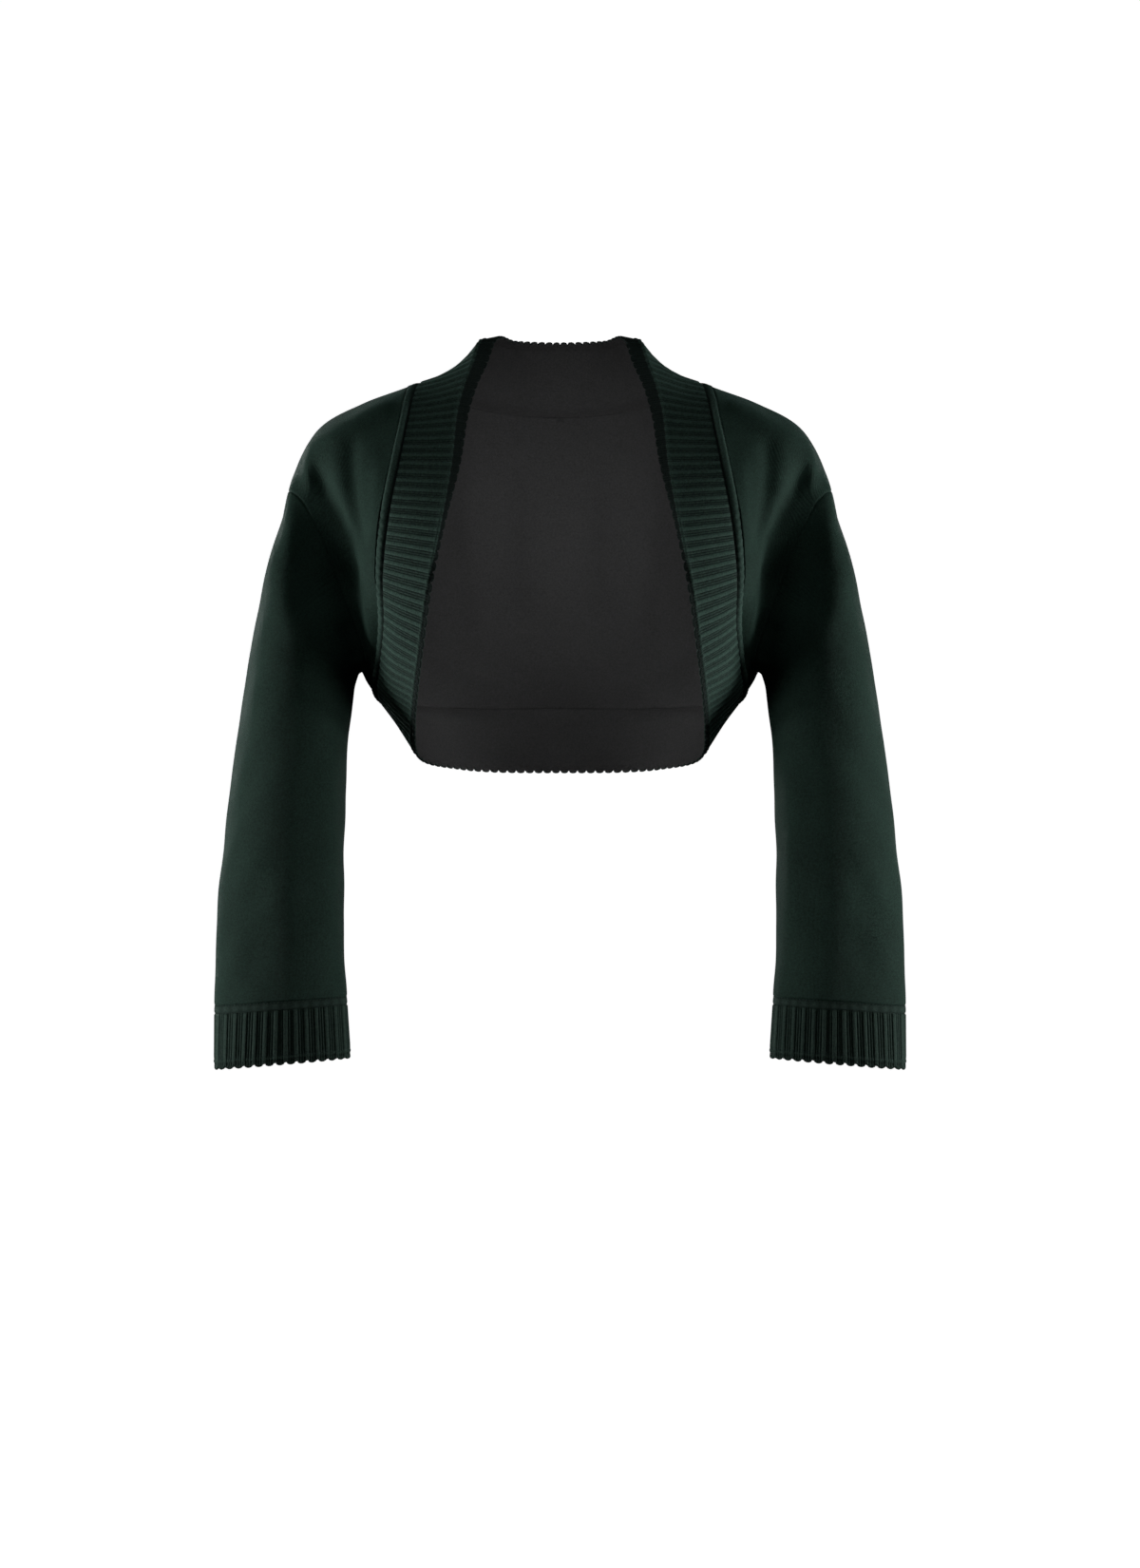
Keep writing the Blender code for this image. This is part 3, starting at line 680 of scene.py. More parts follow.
# %% The yarns of this garment
GREEN_DARK, GREEN_LIGHT = (0.0048, 0.017, 0.012, 1), (0.016, 0.046, 0.0325, 1)
# RIB_DARK is darker than GREEN_DARK to deepen the painted shade in the ribs' grooves, the welt's groove and
# the rolled edge.
RIB_DARK = (0.0035, 0.01, 0.008, 1)
# RIB_GREEN and CUFF_GREEN are the body's green lightened as painted light on the ribs, the cuffs' by less
# than the band's.
RIB_GREEN, CUFF_GREEN = (0.041, 0.084, 0.066, 1), (0.026, 0.053, 0.041, 1)
SEWING_GREEN = (0.028, 0.055, 0.043, 1)
CHARCOAL_DARK, CHARCOAL_LIGHT = (0.048, 0.048, 0.049, 1), (0.074, 0.074, 0.075, 1)
body_yarn = yarn("green stocking stitch", GREEN_DARK, GREEN_LIGHT, v_loops)
rib_yarn = yarn("green rib", RIB_DARK, RIB_GREEN, v_loops, ribbed=True)
cuff_yarn = yarn("green cuff rib", GREEN_DARK, CUFF_GREEN, v_loops, ribbed=True)
reverse_yarn = yarn(
    "charcoal reverse side", CHARCOAL_DARK, CHARCOAL_LIGHT, purl_loops, bloom=CHARCOAL_BLOOM
)
stitch_yarn = yarn("green sewing yarn", GREEN_DARK, SEWING_GREEN, even_loops)
YARNS = (body_yarn, rib_yarn, cuff_yarn, reverse_yarn, stitch_yarn)
print("yarns:", ", ".join(material.name for material in YARNS))


# %% What is done to every finished piece
def finish_piece(piece, yarns, nodes):
    """Give the piece its yarns and its body, and hide the solids that it replaces."""
    for material in yarns:
        piece.data.materials.append(material)
    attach(piece, "root")
    if nodes:
        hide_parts(*nodes)


# %% [markdown]
# ## Back and fronts
# The body is knitted flat in three pieces, sewn at the shoulders and sides. On the outside a seam shows as a
# fine valley, and inside as a small ridge where the edges are turned in. Sewing panels by simulation would
# pucker them at random, so the valley and ridge are added by their distance from the seam.

# %% Seams
SEAM_ROWS = (0.0, 0.4, 0.8, 1.3, 2.0, 3.0)
SEAM_SINK, SEAM_SPREAD, SEAM_TURNING = 0.9, 1.1, 0.4


def seam_valley(distance):
    """A bell curve beside the seam, SEAM_SINK deep."""
    return -SEAM_SINK * bell(distance, SEAM_SPREAD)


def seam_ridge(distance):
    """Twice as wide as the valley, with the height of the turned-in edges."""
    return -SEAM_TURNING * bell(distance, 2 * SEAM_SPREAD)


def crowded(numbers, size, at_start=True):
    """Rising numbers, with SEAM_ROWS in place of their own near the last and, if at_start, near the first.

    One step of the numbers is size millimetres long.
    """
    near = np.array(SEAM_ROWS) / size
    kept = numbers <= numbers[-1] - near[-1]
    beside = [numbers[-1] - near]
    if at_start:
        kept &= numbers >= numbers[0] + near[-1]
        beside.append(numbers[0] + near)
    return np.unique(np.round(np.concatenate([numbers[kept], *beside]), 6))


# One knitted stitch, then the mean radius of the body and how far back its middle is.
STITCH_WIDTH, STITCH_HEIGHT = 1.5, 1.15
TORSO_RADIUS, TORSO_MIDDLE = 130.0, 15.0


def torso_stitches(points):
    """Stitch counts round an upright axis through the body, and up it."""
    around_body = np.arctan2(points[..., 0], TORSO_MIDDLE - points[..., 1]) * TORSO_RADIUS
    return np.stack([around_body / STITCH_WIDTH, points[..., 2] / STITCH_HEIGHT], axis=-1)


# %% Panels
COLUMN_SIZE = RIB_PITCH * RIBS_PER_COLUMN
PANEL_DEPTH = 55.0
PANEL_ROWS = crowded(np.linspace(0, ARMHOLE, 76), PANEL_DEPTH, at_start=False)


def panel_grids(first, last, per_column):
    """Outside and inside of a panel: the surface with its folds, seam valleys outside, seam ridges inside."""
    column = crowded(np.linspace(first, last, (last - first) * per_column + 1), COLUMN_SIZE)
    points, out = body_grid(column, PANEL_ROWS)
    along = distance_along(points, axis=1)
    across = distance_along(points, axis=0)
    from_seam = np.minimum(np.minimum(along, along[:, -1:] - along), across[-1:] - across)
    height = fold_height(points) + ripple(points)
    outside = points + out * (height + seam_valley(from_seam))[..., None]
    inside = points + out * (height - BODY_WALL + seam_ridge(from_seam))[..., None]
    return column, outside, inside


def front_panel(name, mirrored):
    _, outside, inside = panel_grids(0, SIDE_COLUMN, 7)
    if mirrored:
        outside, inside = outside * FLIP_X, inside * FLIP_X
    stitches = torso_stitches(np.concatenate([outside, inside]))
    piece = knitted_wall(name, outside, inside, stitches)
    print(f"{name}: {cloth_area(outside):.4f} m2, {len(piece.data.polygons)} faces")
    return piece


front_left = front_panel("front_left_knit", False)
front_right = front_panel("front_right_knit", True)


# %% The back, one half and its mirror image joined on the centre line
def back_panel(name):
    column, outside, inside = panel_grids(SIDE_COLUMN, COLUMNS, 6)
    centre = (column >= HEM_COLUMN) & (column <= NECK_COLUMN)
    for rows in (outside, inside):
        rows[0, centre, 0] = 0
    stitches = torso_stitches(np.concatenate([outside, inside]) * (1, -1, 1))
    piece = knitted_wall(name, outside, inside, stitches, parted=centre)
    print(f"{name}: {2 * cloth_area(outside):.4f} m2")
    mirror = piece.modifiers.new("other half", "MIRROR")
    mirror.merge_threshold = 0.00001
    graph = bpy.context.evaluated_depsgraph_get()
    whole = bpy.data.meshes.new_from_object(piece.evaluated_get(graph))
    piece.modifiers.clear()
    piece.data = whole
    print(f"{name}: {len(whole.polygons)} faces")
    return piece


back = back_panel("back_knit")

# %% [markdown]
# ## Sleeves
# Each sleeve is a tube: wide and smooth, with one seam up its inner side. A cylinder with a taper would be
# quick, but the real one is flatter than round, bends a little forwards and carries long folds, so it follows
# the rings.

# %% Rows and columns of a sleeve: its girth, the length between its rings and the steps in a column
SLEEVE_ROUND, SLEEVE_RING_GAP, SLEEVE_STEPS = 330.0, 60.0, 6
SLEEVE_COLUMN_SIZE = SLEEVE_ROUND / COLUMNS
SLEEVE_ROWS = crowded(np.linspace(ARMHOLE, CUFF_TOP, 130), SLEEVE_RING_GAP)
SLEEVE_INSIDE_ROWS = np.linspace(ARMHOLE, CUFF_TOP, 36)
SLEEVE_SEAM = SIDE_COLUMN - 0.6
SEAM_COLUMNS = np.array([-2.0, -1.2, -0.6, 0, 0.6, 1.2, 2.0]) / SLEEVE_COLUMN_SIZE
SEAM_CLEAR = 2.6 / SLEEVE_COLUMN_SIZE
even_columns = np.arange(COLUMNS * SLEEVE_STEPS) / SLEEVE_STEPS
away_from_seam = even_columns[np.abs(even_columns - SLEEVE_SEAM) > SEAM_CLEAR]
SLEEVE_COLUMNS = np.sort(np.append(away_from_seam, SLEEVE_SEAM + SEAM_COLUMNS))


# %% Sleeve tubes
def sleeve_side(rows, seam_height, wall=0):
    """One side of the tube's wall and its stitches: the surface with its folds, sunk by the wall."""
    points, out = body_grid(SLEEVE_COLUMNS, rows)
    down = distance_along(points, axis=0)
    from_ends = np.minimum(down, down[-1:] - down)
    from_seam = np.abs((SLEEVE_COLUMNS - SLEEVE_SEAM + COLUMNS / 2) % COLUMNS - COLUMNS / 2)
    from_seam = np.minimum(from_ends, from_seam * SLEEVE_COLUMN_SIZE)
    height = fold_height(points) + ripple(points) + seam_height(from_seam) - wall
    across = np.broadcast_to(SLEEVE_COLUMNS * SLEEVE_COLUMN_SIZE / STITCH_WIDTH, down.shape)
    stitches = np.stack([across, (down - down[-1:]) / STITCH_HEIGHT], axis=-1)
    return points + out * height[..., None], stitches


def sleeve(name, mirrored):
    outside, outer_stitches = sleeve_side(SLEEVE_ROWS, seam_valley)
    inside, inner_stitches = sleeve_side(SLEEVE_INSIDE_ROWS, seam_ridge, BODY_WALL)
    if mirrored:
        outside, inside = outside * FLIP_X, inside * FLIP_X
    stitches = np.concatenate([outer_stitches, inner_stitches])
    piece = knitted_wall(name, outside, inside, stitches, around=True)
    print(f"{name}: {cloth_area(outside):.4f} m2, {len(piece.data.polygons)} faces")
    return piece


sleeve_left = sleeve("sleeve_left_knit", False)
sleeve_right = sleeve("sleeve_right_knit", True)

# %% [markdown]
# ## The ribbed band
# One long band goes round the whole opening: up the front, behind the neck and along the hem. It starts in a
# round welt at the seam. Then each repeat is one broad rib and two thin ones between three sharp grooves. It
# ends in a fine ridge and a thin edge that rolls back and is scalloped, one lobe for each pair of thin ribs.
# Ribs are often left to a bump map, but these are over a millimetre high and cast shadows, so they are real
# relief on the grid.

# %% Rib relief, over one broad rib and the two thin ones after it
RIB_PHASES = (0, 0.15, 0.2, 0.245, 0.29, 0.37, 0.455, 0.5, 0.545, 0.63, 0.71, 0.755, 0.8, 0.85)
RIB_LEVELS = (1, 0.97, 0.75, -0.3, 0.35, 0.5, 0.35, -0.3, 0.35, 0.5, 0.35, -0.3, 0.75, 0.97)


def rib_numbers(ribs):
    """Rib numbers of all columns round a ribbed piece, at the phases where the relief bends."""
    return (np.arange(ribs)[:, None] + np.array(RIB_PHASES)).ravel()


def rib_relief(rib):
    """Height from 0 to 1 of the ribs: 1 on a broad rib, which is centred on each whole number."""
    return np.interp(rib % 1, RIB_PHASES + (1,), RIB_LEVELS + (1,))


def lobe(rib):
    """Half an ellipse from each whole number to the next: 2 sqrt(1 - (2f - 1)^2) - 1 at the fraction f."""
    return 2 * np.sqrt(1 - (2 * (rib % 1) - 1) ** 2) - 1


# %% Relief across the band
WELT_PLACES = (0, 0.4, 0.9, 1.6, 2.6, 3.8, 5.0, 6.0, 6.8, 7.5, 8.1, 8.8, 9.8)
WELT_LEVELS = (-0.4, 0.6, 1.3, 1.8, 2.05, 2.1, 1.9, 1.4, 0.5, -0.5, -1.0, -0.7, 0)
RIBS_START, RIBS_FULL = 8.3, 10.3
RIDGE_SPREAD, GROOVE_DEPTH, GROOVE_PLACE, GROOVE_SPREAD = 1.5, 0.45, 2.6, 0.9

# Heights between which the welt grows beads at its ribs, and those between which it grows flatter.
BEADS_START, BEADS_FULL = -60.0, -150.0
FLATTER, FLATTER_START, FLATTER_FULL = 0.5, -30, -5


def from_ridge(rib, positions):
    """Millimetres from the ridge, negative on the seam's side, one row for each position."""
    strip = np.linalg.norm(opening_line("edge", rib) - opening_line("ridge", rib), axis=1)
    positions = np.asarray(positions)[:, None]
    return np.where(positions > RIDGE, (positions - RIDGE) * strip, (positions - RIDGE) * HALF_WIDTH), strip


def band_relief(rib, positions, points):
    """Height over the plain band, then its painted shade: welt, ribs, and the ridge with a groove beyond it.
    """
    place = np.asarray(positions)[:, None] * HALF_WIDTH
    beyond, _ = from_ridge(rib, positions)
    wave = np.cos(2 * np.pi * rib)
    beads = 0.12 + 0.25 * smooth_step(points[..., 2], BEADS_START, BEADS_FULL)
    flatter = FLATTER * smooth_step(points[..., 2], FLATTER_START, FLATTER_FULL)
    welt = np.interp(place, WELT_PLACES, WELT_LEVELS) * (1 + beads * (wave - 1) / 2) * (1 - flatter)
    ribs = rib_relief(rib) * smooth_step(place, RIBS_START, RIBS_FULL)
    ribs = ribs * (1 - 0.45 * bell(beyond, 2.2)) * (1 - 0.5 * smooth_step(beyond, 0.5, 3))
    ridge = RIDGE_HEIGHT * bell(beyond, RIDGE_SPREAD) * (1 + 0.2 * wave)
    groove = GROOVE_DEPTH * bell(beyond - GROOVE_PLACE, GROOVE_SPREAD)
    on_welt = place < (RIBS_START + RIBS_FULL) / 2
    # Painted shade and highlight from the relief: darker in the welt's groove, between ribs and in the groove
    # beyond the ridge, lighter on crests and the ridge.
    shade = np.where(on_welt, np.clip(welt / 2 + 0.25, 0, 1), np.clip(ribs + 0.15, 0, 1) + ridge * 0.5)
    # Painted shade on the strip beyond the ridge, which rolls back: it is coloured almost fully dark.
    shade = shade * (1 - 0.95 * smooth_step(beyond, 0.8, 2.2))
    return welt + RIB_HEIGHT * ribs + ridge - groove, np.clip(shade - groove, 0, 1)


# %% Rows of the band and the scallops of its edge
WELT_ROWS = np.array(WELT_PLACES[:-1] + (9.6, 10.4)) / HALF_WIDTH
FIELD_ROWS = np.array((0.5, 0.8, 1.1, 1.4, 1.7, 1.86, 1.93, 1.965, 2.0))
STRIP_ROWS = np.array((2.08, 2.18, 2.32, 2.5, 2.75, 3.0))
BAND_ROWS = np.concatenate([WELT_ROWS, FIELD_ROWS, STRIP_ROWS])
BAND_INSIDE_ROWS = np.array((0, 0.5, 1.0, 1.5, 2.0, 2.4, 2.75, 3.0))
SCALLOP_FADE = 4.0


def scalloped(rib, positions, points):
    """Points near the free edge moved towards or past it by SCALLOP x lobe, fading over SCALLOP_FADE."""
    beyond, strip = from_ridge(rib, positions)
    share = np.clip(1 - (strip - beyond) / SCALLOP_FADE, 0, 1) ** 2
    outwards = unit(opening_line("edge", rib) - band_surface(rib, RIDGE))
    return points + outwards * (share * lobe(rib) * SCALLOP)[..., None], outwards


# %% The rolled edge and the mesh of any ribbed piece
ROLL, ROLL_SHADE = [(-0.2, 0.35), (-0.8, 0.6), (-1.4, 0.4)], 0.6
STITCHES_PER_RIB = 6.0


def ribbed_wall(name, rib, sides, rows, shade, out, outwards):
    """The wall of a ribbed piece, whose outside gets the rows of its rolled edge.

    Each of those is sunk along out and moved on along outwards. sides are the grids of the outside and the
    inside, and rows give their places in millimetres.
    """
    outside, inside = sides
    roll = [outside[-1] + out * sink + outwards * reach for sink, reach in ROLL]
    # Painted shade: the rolled rows are coloured darker than the last row.
    shade = np.concatenate([shade, np.repeat(shade[-1:] * ROLL_SHADE, len(ROLL), axis=0)])
    down = np.concatenate([rows[0], rows[0][-1:].repeat(len(ROLL)), rows[1]])[:, None]
    stitches = np.stack(np.broadcast_arrays(rib * STITCHES_PER_RIB, down / STITCH_HEIGHT), axis=-1)
    outside = np.concatenate([outside, roll])
    return knitted_wall(name, outside, inside, stitches, around=True, painted_shading=shade)


# %% The band
def ribbed_band(name):
    rib = rib_numbers(BAND_RIBS)
    points, out = band_grid(rib, BAND_ROWS)
    height, shade = band_relief(rib, BAND_ROWS, points)
    outside, outwards = scalloped(rib, BAND_ROWS, points + out * height[..., None])
    plain, plain_out = band_grid(rib, BAND_INSIDE_ROWS)
    inside, _ = scalloped(rib, BAND_INSIDE_ROWS, plain - plain_out * BAND_WALL)
    rows = (BAND_ROWS * HALF_WIDTH, BAND_INSIDE_ROWS * HALF_WIDTH)
    piece = ribbed_wall(name, rib, (outside, inside), rows, shade, out[-1], outwards)
    print(f"{name}: plain area {cloth_area(points):.4f} m2, {len(piece.data.polygons)} faces")
    return piece


band = ribbed_band("opening_band_rib")

# %% [markdown]
# ## Cuffs
# A cuff has the band's ribs running down it. At its top each broad rib spreads into a rounded head under the
# seam, and at its foot are a fine ridge and deeper scallops. The band's relief could be used again, but the
# band has no heads, so the cuff has a relief of its own.

# %% Rows of a cuff and the heads of its ribs
CUFF_ROWS = np.array((
    0, 0.4, 0.9, 1.5, 2.2, 3.1, 4.0, 4.8, 5.5, 6.1, 6.6, 7.1, 7.6, 8.4, 10, 14, 20, 26, 32, 38, 43,
    45.4, 46.4, 47.2, 48, 48.8, 49.6, 50.4, 51.2, 52, 53,
))
CUFF_INSIDE_ROWS = np.array((0, 3, 8, 15, 25, 35, 43, 48, 51, 53))
HEAD_PLACES = (0, 0.4, 0.9, 1.6, 2.6, 4.4, 5.5, 6.6)
HEAD_LEVELS = (-0.35, 0.2, 0.6, 0.85, 1, 1, 0.8, 0)
HEAD_HEIGHT, HEAD_END, LINE_PLACE = 0.5, 6.4, 6.9
CUFF_RIBS_START, CUFF_RIBS_FULL = 6.0, 8.4
CUFF_SINK_START, CUFF_SINK_FULL = 5.0, 9.0
CUFF_RIDGE_SPREAD, CUFF_GROOVE_DEPTH, CUFF_GROOVE_PLACE, CUFF_GROOVE_SPREAD = 1.1, 0.4, 2.4, 0.8


# %% The surface of a cuff
def cuff_turn(rib):
    """The angle of each cuff rib, at equal steps along the cuff's lower ring."""
    turn = np.linspace(0, 360, 721)
    length = distance_along(ring_points("cuff_bottom", turn))
    return np.interp(rib % CUFF_RIBS, length / length[-1] * CUFF_RIBS, turn)


def cuff_grid(rib, rows):
    """Points of the plain cuff, straight lines from its upper ring to its lower one, and its directions."""
    top, bottom = (ring_points(ring, cuff_turn(rib)) for ring in ("cuff_top", "cuff_bottom"))
    ahead, behind = (ring_points("cuff_bottom", cuff_turn(rib + step)) for step in (STEP, -STEP))
    down = unit(bottom - top)
    out = unit(np.cross(ahead - behind, down))
    return top + (bottom - top) * (rows / CUFF_LENGTH)[:, None, None], out, down


def cuff_sink(rows):
    """How far the cloth of the ribs lies below that of the heads."""
    return CUFF_SINK * smooth_step(rows, CUFF_SINK_START, CUFF_SINK_FULL)


def cuff_relief(rib, rows):
    """Height over the plain cuff, then its painted shade: rounded heads, a fine line, sunken ribs and the
    ridge.
    """
    place = rows[:, None]
    beyond = place - (CUFF_LENGTH - CUFF_EDGE)
    head = np.interp(place, HEAD_PLACES, HEAD_LEVELS) * HEAD_HEIGHT * (0.7 + 0.3 * np.cos(2 * np.pi * rib))
    line = 0.3 * bell(place - LINE_PLACE, 0.6)
    ribs = rib_relief(rib) * smooth_step(place, CUFF_RIBS_START, CUFF_RIBS_FULL)
    ribs = ribs * (1 - 0.5 * bell(beyond, 2)) * (1 - 0.4 * smooth_step(beyond, 1, 4))
    ridge = RIDGE_HEIGHT * bell(beyond, CUFF_RIDGE_SPREAD)
    groove = CUFF_GROOVE_DEPTH * bell(beyond - CUFF_GROOVE_PLACE, CUFF_GROOVE_SPREAD)
    # Painted shade and highlight: lighter on the heads, crests and ridge, darker between ribs, in the groove
    # and along the line.
    shade = np.clip(0.65 * ribs + 0.35, 0, 1) + ridge * 0.5
    shade = np.where(place < HEAD_END, np.clip(0.9 * head / HEAD_HEIGHT, 0, 1), shade)
    height = head + RIB_HEIGHT * ribs + ridge - groove - cuff_sink(place) - line
    return height, np.clip(shade - groove - line, 0, 1)


def cuff_scallops(rib, rows, down):
    """The step down towards or past the edge: CUFF_SCALLOP x lobe, fading over CUFF_EDGE."""
    share = np.clip(1 - (CUFF_LENGTH - rows) / CUFF_EDGE, 0, 1) ** 2
    return down * (share[:, None] * lobe(rib) * CUFF_SCALLOP)[..., None]


# %% The cuffs
def cuff(name, mirrored):
    rib = rib_numbers(CUFF_RIBS)
    points, out, down = cuff_grid(rib, CUFF_ROWS)
    height, shade = cuff_relief(rib, CUFF_ROWS)
    outside = points + out * height[..., None] + cuff_scallops(rib, CUFF_ROWS, down)
    plain, _, _ = cuff_grid(rib, CUFF_INSIDE_ROWS)
    depth = BAND_WALL + cuff_sink(CUFF_INSIDE_ROWS)
    inside = plain - out * depth[:, None, None] + cuff_scallops(rib, CUFF_INSIDE_ROWS, down)
    if mirrored:
        outside, inside, out, down = (values * FLIP_X for values in (outside, inside, out, down))
    rows = (CUFF_ROWS, CUFF_INSIDE_ROWS)
    piece = ribbed_wall(name, rib, (outside, inside), rows, shade, out, down)
    print(f"{name}: plain area {cloth_area(points):.4f} m2, {len(piece.data.polygons)} faces")
    return piece


cuff_left = cuff("cuff_left_rib", False)
cuff_right = cuff("cuff_right_rib", True)

# %% [markdown]
# ## Seam stitches
# The welt is fastened down along its outer side by a row of small chain stitches, and so is the top of each
# cuff. An array modifier could follow a curve, but one grid placed at every stitch at once is simpler. Each
# stitch is a short rounded bead of yarn, thicker at one end, lying along the seam.

# %% One stitch, placed along a line
STITCH_PITCH, STITCH_LONG, STITCH_THICK = 3.1, 2.6, 0.48
BEAD_SIDES, BEAD_RINGS = 6, 5


def tube_faces(rings, sides):
    """Corner numbers of the squares of a tube, whose rings follow one another in its points."""
    ring, side = np.meshgrid(np.arange(rings - 1), np.arange(sides), indexing="ij")
    a, b = ring * sides + side, ring * sides + (side + 1) % sides
    return np.stack([a, b, b + sides, a + sides], axis=-1).reshape(-1, 4)


def bead():
    """Points of a bead along x: sin(pi t)^0.6 x (0.8 + 0.4t) x STITCH_THICK from its middle line at t."""
    t = np.linspace(0.02, 0.98, BEAD_RINGS)
    radius = np.sin(np.pi * t) ** 0.6 * (0.8 + 0.4 * t)
    angle = np.arange(BEAD_SIDES) * 2 * np.pi / BEAD_SIDES
    x = np.repeat((t - 0.5) * STITCH_LONG, BEAD_SIDES)
    y, z = (np.outer(radius, part).ravel() * STITCH_THICK for part in (np.cos(angle), np.sin(angle)))
    return np.stack([x, y, z], axis=1)


def stitch_row(name, line, out, lift):
    """Beads at equal steps along a closed line of points, lifted along out."""
    length = distance_along(np.concatenate([line, line[:1]]))
    count = int(length[-1] / STITCH_PITCH)
    at = (np.arange(count) + 0.5) * length[-1] / count
    loop, loop_out = (np.concatenate([values, values[:1]]) for values in (line, out))
    place, ahead, up = (
        np.stack([np.interp(spot % length[-1], length, values[:, axis]) for axis in range(3)], axis=1)
        for spot, values in ((at, loop), (at + 0.5, loop), (at, loop_out))
    )
    along = unit(ahead - place)
    up = unit(up - np.sum(up * along, axis=1, keepdims=True) * along)
    side = np.cross(up, along)
    turned = bead() @ np.stack([along, side, up], axis=1)
    points = (place + up * lift)[:, None] + turned
    caps = np.array([np.arange(BEAD_SIDES)[::-1], np.arange(BEAD_SIDES) + (BEAD_RINGS - 1) * BEAD_SIDES])
    first = np.arange(count)[:, None, None] * BEAD_RINGS * BEAD_SIDES
    sides, ends = tube_faces(BEAD_RINGS, BEAD_SIDES) + first, caps + first
    mesh = bpy.data.meshes.new(name)
    faces = sides.reshape(-1, 4).tolist() + ends.reshape(-1, BEAD_SIDES).tolist()
    mesh.from_pydata(points.reshape(-1, 3) * MM, [], faces)
    mesh.shade_smooth()
    print(f"{name}: {count} stitches, {len(mesh.polygons)} faces")
    return placed(name, mesh)


# %% Rows of stitches
seam_ribs = np.arange(0, BAND_RIBS, 0.25)
band_stitches = stitch_row("band_chain_stitch", opening_line("welt", seam_ribs), seam_normal(seam_ribs), 0.4)
cuff_ribs = np.arange(0, CUFF_RIBS, 0.25)
cuff_line, cuff_out, _ = cuff_grid(cuff_ribs, np.array([0.0]))
cuff_stitches = {
    side: stitch_row(f"cuff_{side}_chain_stitch", cuff_line[0] * flip, cuff_out * flip, 0.1)
    for side, flip in (("left", 1), ("right", FLIP_X))
}

# %% [markdown]
# ## What each piece is
# Every cloth piece rides on the one body and stands for its solids.

# %% Yarns and bodies
finish_piece(band_stitches, [stitch_yarn], [])
for side in ("left", "right"):
    finish_piece(cuff_stitches[side], [stitch_yarn], [])
plain, ribbed, cuffed = ([outer, reverse_yarn] for outer in (body_yarn, rib_yarn, cuff_yarn))
finish_piece(back, plain, ["back"])
finish_piece(front_left, plain, ["front_left"])
finish_piece(front_right, plain, ["front_right"])
finish_piece(sleeve_left, plain, ["sleeve_left"])
finish_piece(sleeve_right, plain, ["sleeve_right"])
band_nodes = ["band_neck", "band_front_left", "band_front_right", "band_hem"]
finish_piece(band, ribbed, band_nodes)
for piece, side in ((cuff_left, "left"), (cuff_right, "right")):
    finish_piece(piece, cuffed, [f"cuff_{side}"])

# %% [markdown]
# ## Studio
# The garment stands in a seamless white room. It is lit softly from both sides, because that leaves the folds
# that face forwards dark. Light from the room's walls would wash those folds out, so the walls are only seen
# and don't light the cloth. Two soft lights on each side do, with weaker ones above and a small one inside
# the opening. Behind, one side is lit more than the other, so that the folds of the back show too.


# %% Surroundings
def white_room(radius=14.0, floor=-1.15, sides=96):
    """A flat floor that turns up into a wide dome: radius x (cos a, sin a) at the angle a above the floor."""
    around = np.arange(sides) * 2 * np.pi / sides
    up = np.linspace(0.05, np.pi / 2 - 0.01, 20)
    reach = np.concatenate([[1.0, radius * 0.6], radius * np.cos(up)])
    height = floor + radius * np.concatenate([[0, 0], np.sin(up)])
    circle = np.stack([np.cos(around), np.sin(around), np.zeros(sides)], axis=1)
    points = reach[:, None, None] * circle + height[:, None, None] * (0, 0, 1)
    faces = tube_faces(len(reach), sides).tolist()
    faces.append(list(range(sides))[::-1])
    mesh = bpy.data.meshes.new("white_room")
    mesh.from_pydata(points.reshape(-1, 3), [], faces)
    mesh.shade_smooth()
    room = placed("white_room", mesh)
    paint = bpy.data.materials.new("white paint")
    paint.use_nodes = True
    shader = paint.node_tree.nodes["Principled BSDF"]
    shader.inputs["Base Color"].default_value = (0.8, 0.8, 0.8, 1)
    shader.inputs["Roughness"].default_value = 1.0
    shader.inputs["Emission Color"].default_value = (1, 1, 1, 1)
    shader.inputs["Emission Strength"].default_value = 1.0
    mesh.materials.append(paint)
    for ray in ("visible_diffuse", "visible_glossy", "visible_shadow", "visible_transmission"):
        setattr(room, ray, False)


white_room()

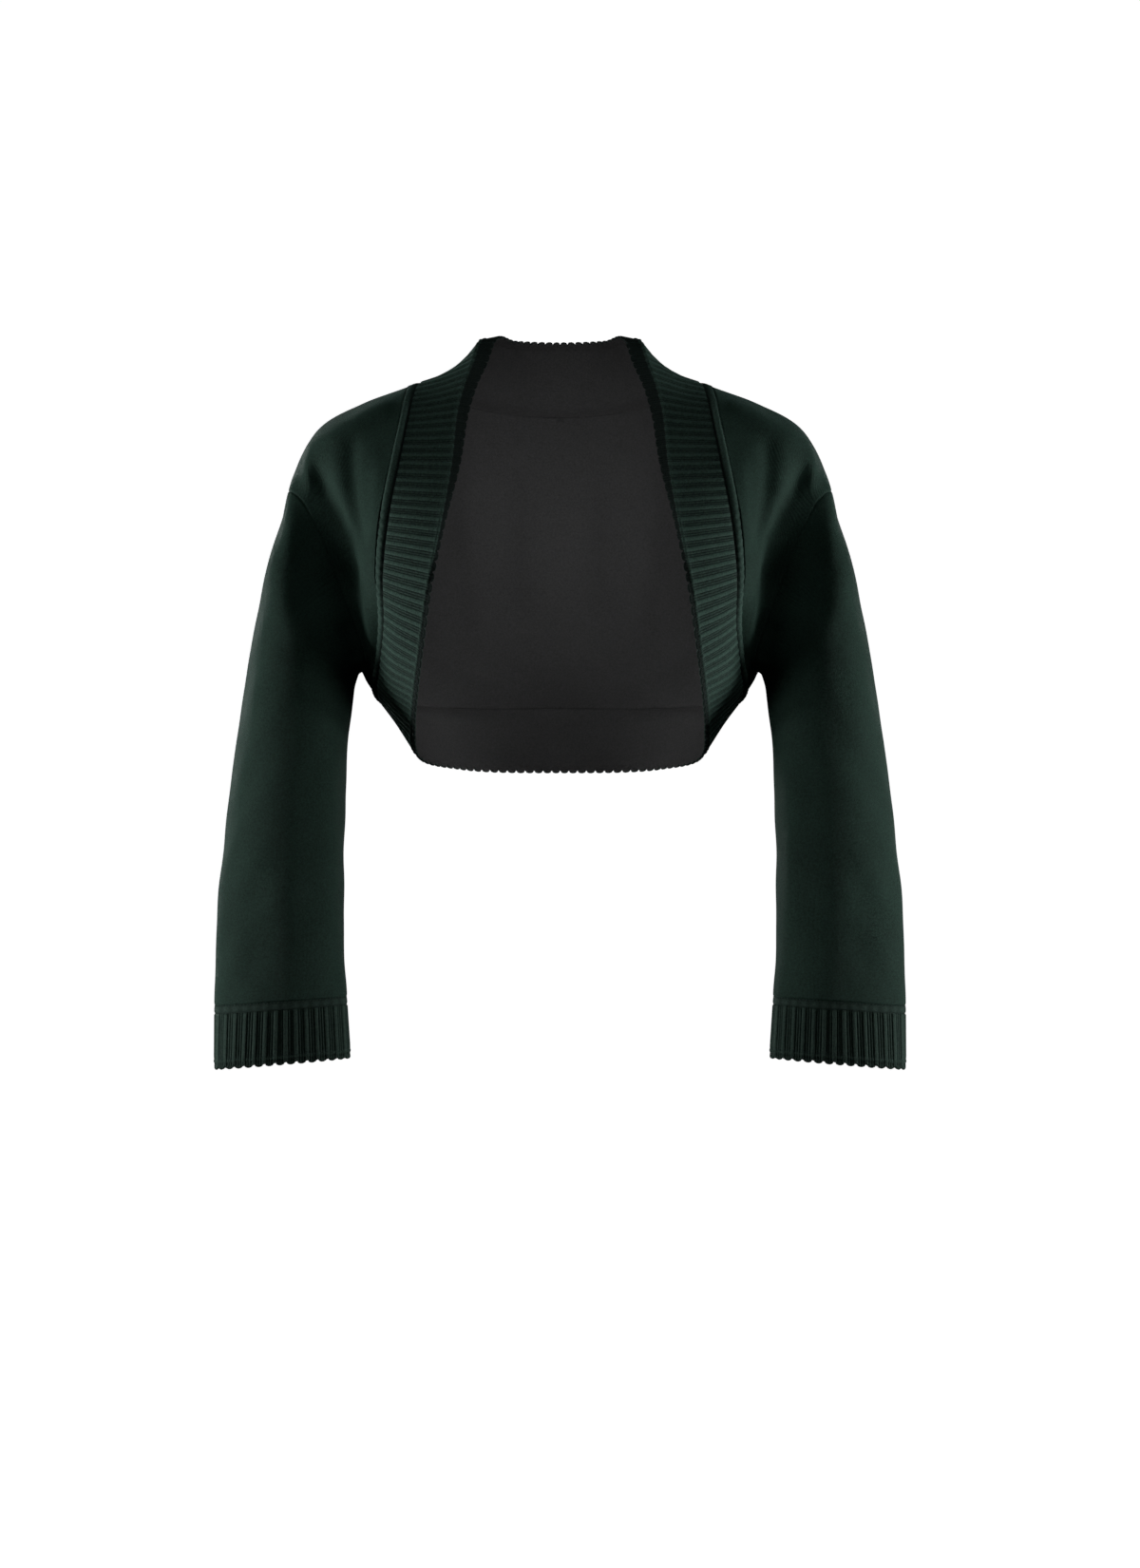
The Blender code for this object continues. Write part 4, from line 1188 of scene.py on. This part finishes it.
# %% Lights: place, the point aimed at, width and height in metres, and power in watts
AIM = (0, 0, -0.3)
PAIRED_LIGHTS = {
    "side": ((2.59, -0.18, -0.22), AIM, (0.9, 0.6), 28.5),
    "lower": ((2.35, -0.16, -1.4), AIM, (0.7, 1.0), 26.0),
    "above": ((1.2, -1.25, 1.1), AIM, (0.6, 0.6), 3.0),
}
SINGLE_LIGHTS = {
    "behind left": ((-1.6, 2.2, 0.5), AIM, (0.7, 0.7), 32.0),
    "behind right": ((1.3, 2.4, 0.4), AIM, (0.7, 0.7), 9.0),
    "within": ((0, -0.02, -0.16), (0, 1, -0.16), (0.2, 0.26), 0.11),
}


def soft_light(name, place, target, size, power):
    data = bpy.data.lights.new(name, "AREA")
    data.shape, data.energy = "RECTANGLE", power
    data.size, data.size_y = size
    light = placed(name, data)
    light.location = place
    light.rotation_euler = Vector(np.subtract(target, place)).to_track_quat("-Z", "Y").to_euler()
    light.visible_camera = False


for name, (place, *row) in PAIRED_LIGHTS.items():
    soft_light(f"{name} left", np.multiply(place, FLIP_X), *row)
    soft_light(f"{name} right", place, *row)
for name, row in SINGLE_LIGHTS.items():
    soft_light(name, *row)
print(f"{2 * len(PAIRED_LIGHTS) + len(SINGLE_LIGHTS)} lights")

# %% The world and the colours of the picture
world = bpy.context.scene.world or bpy.data.worlds.new("world")
bpy.context.scene.world = world
world.use_nodes = True
world.node_tree.nodes["Background"].inputs["Color"].default_value = (1, 1, 1, 1)
world.node_tree.nodes["Background"].inputs["Strength"].default_value = 0.01
bpy.context.scene.view_settings.view_transform = "Standard"

# %% Camera, level with the middle of the picture
PICTURE_HEIGHT, CAMERA_AWAY = 1.386, 6.0
MIDDLE_X, MIDDLE_Z = 0.0088, -0.3553
camera_data = bpy.data.cameras.new("camera")
camera_data.lens = camera_data.sensor_width * CAMERA_AWAY / PICTURE_HEIGHT
camera = placed("camera", camera_data)
camera.location = (MIDDLE_X, -CAMERA_AWAY, MIDDLE_Z)
camera.rotation_euler = (np.pi / 2, 0, 0)
bpy.context.scene.camera = camera
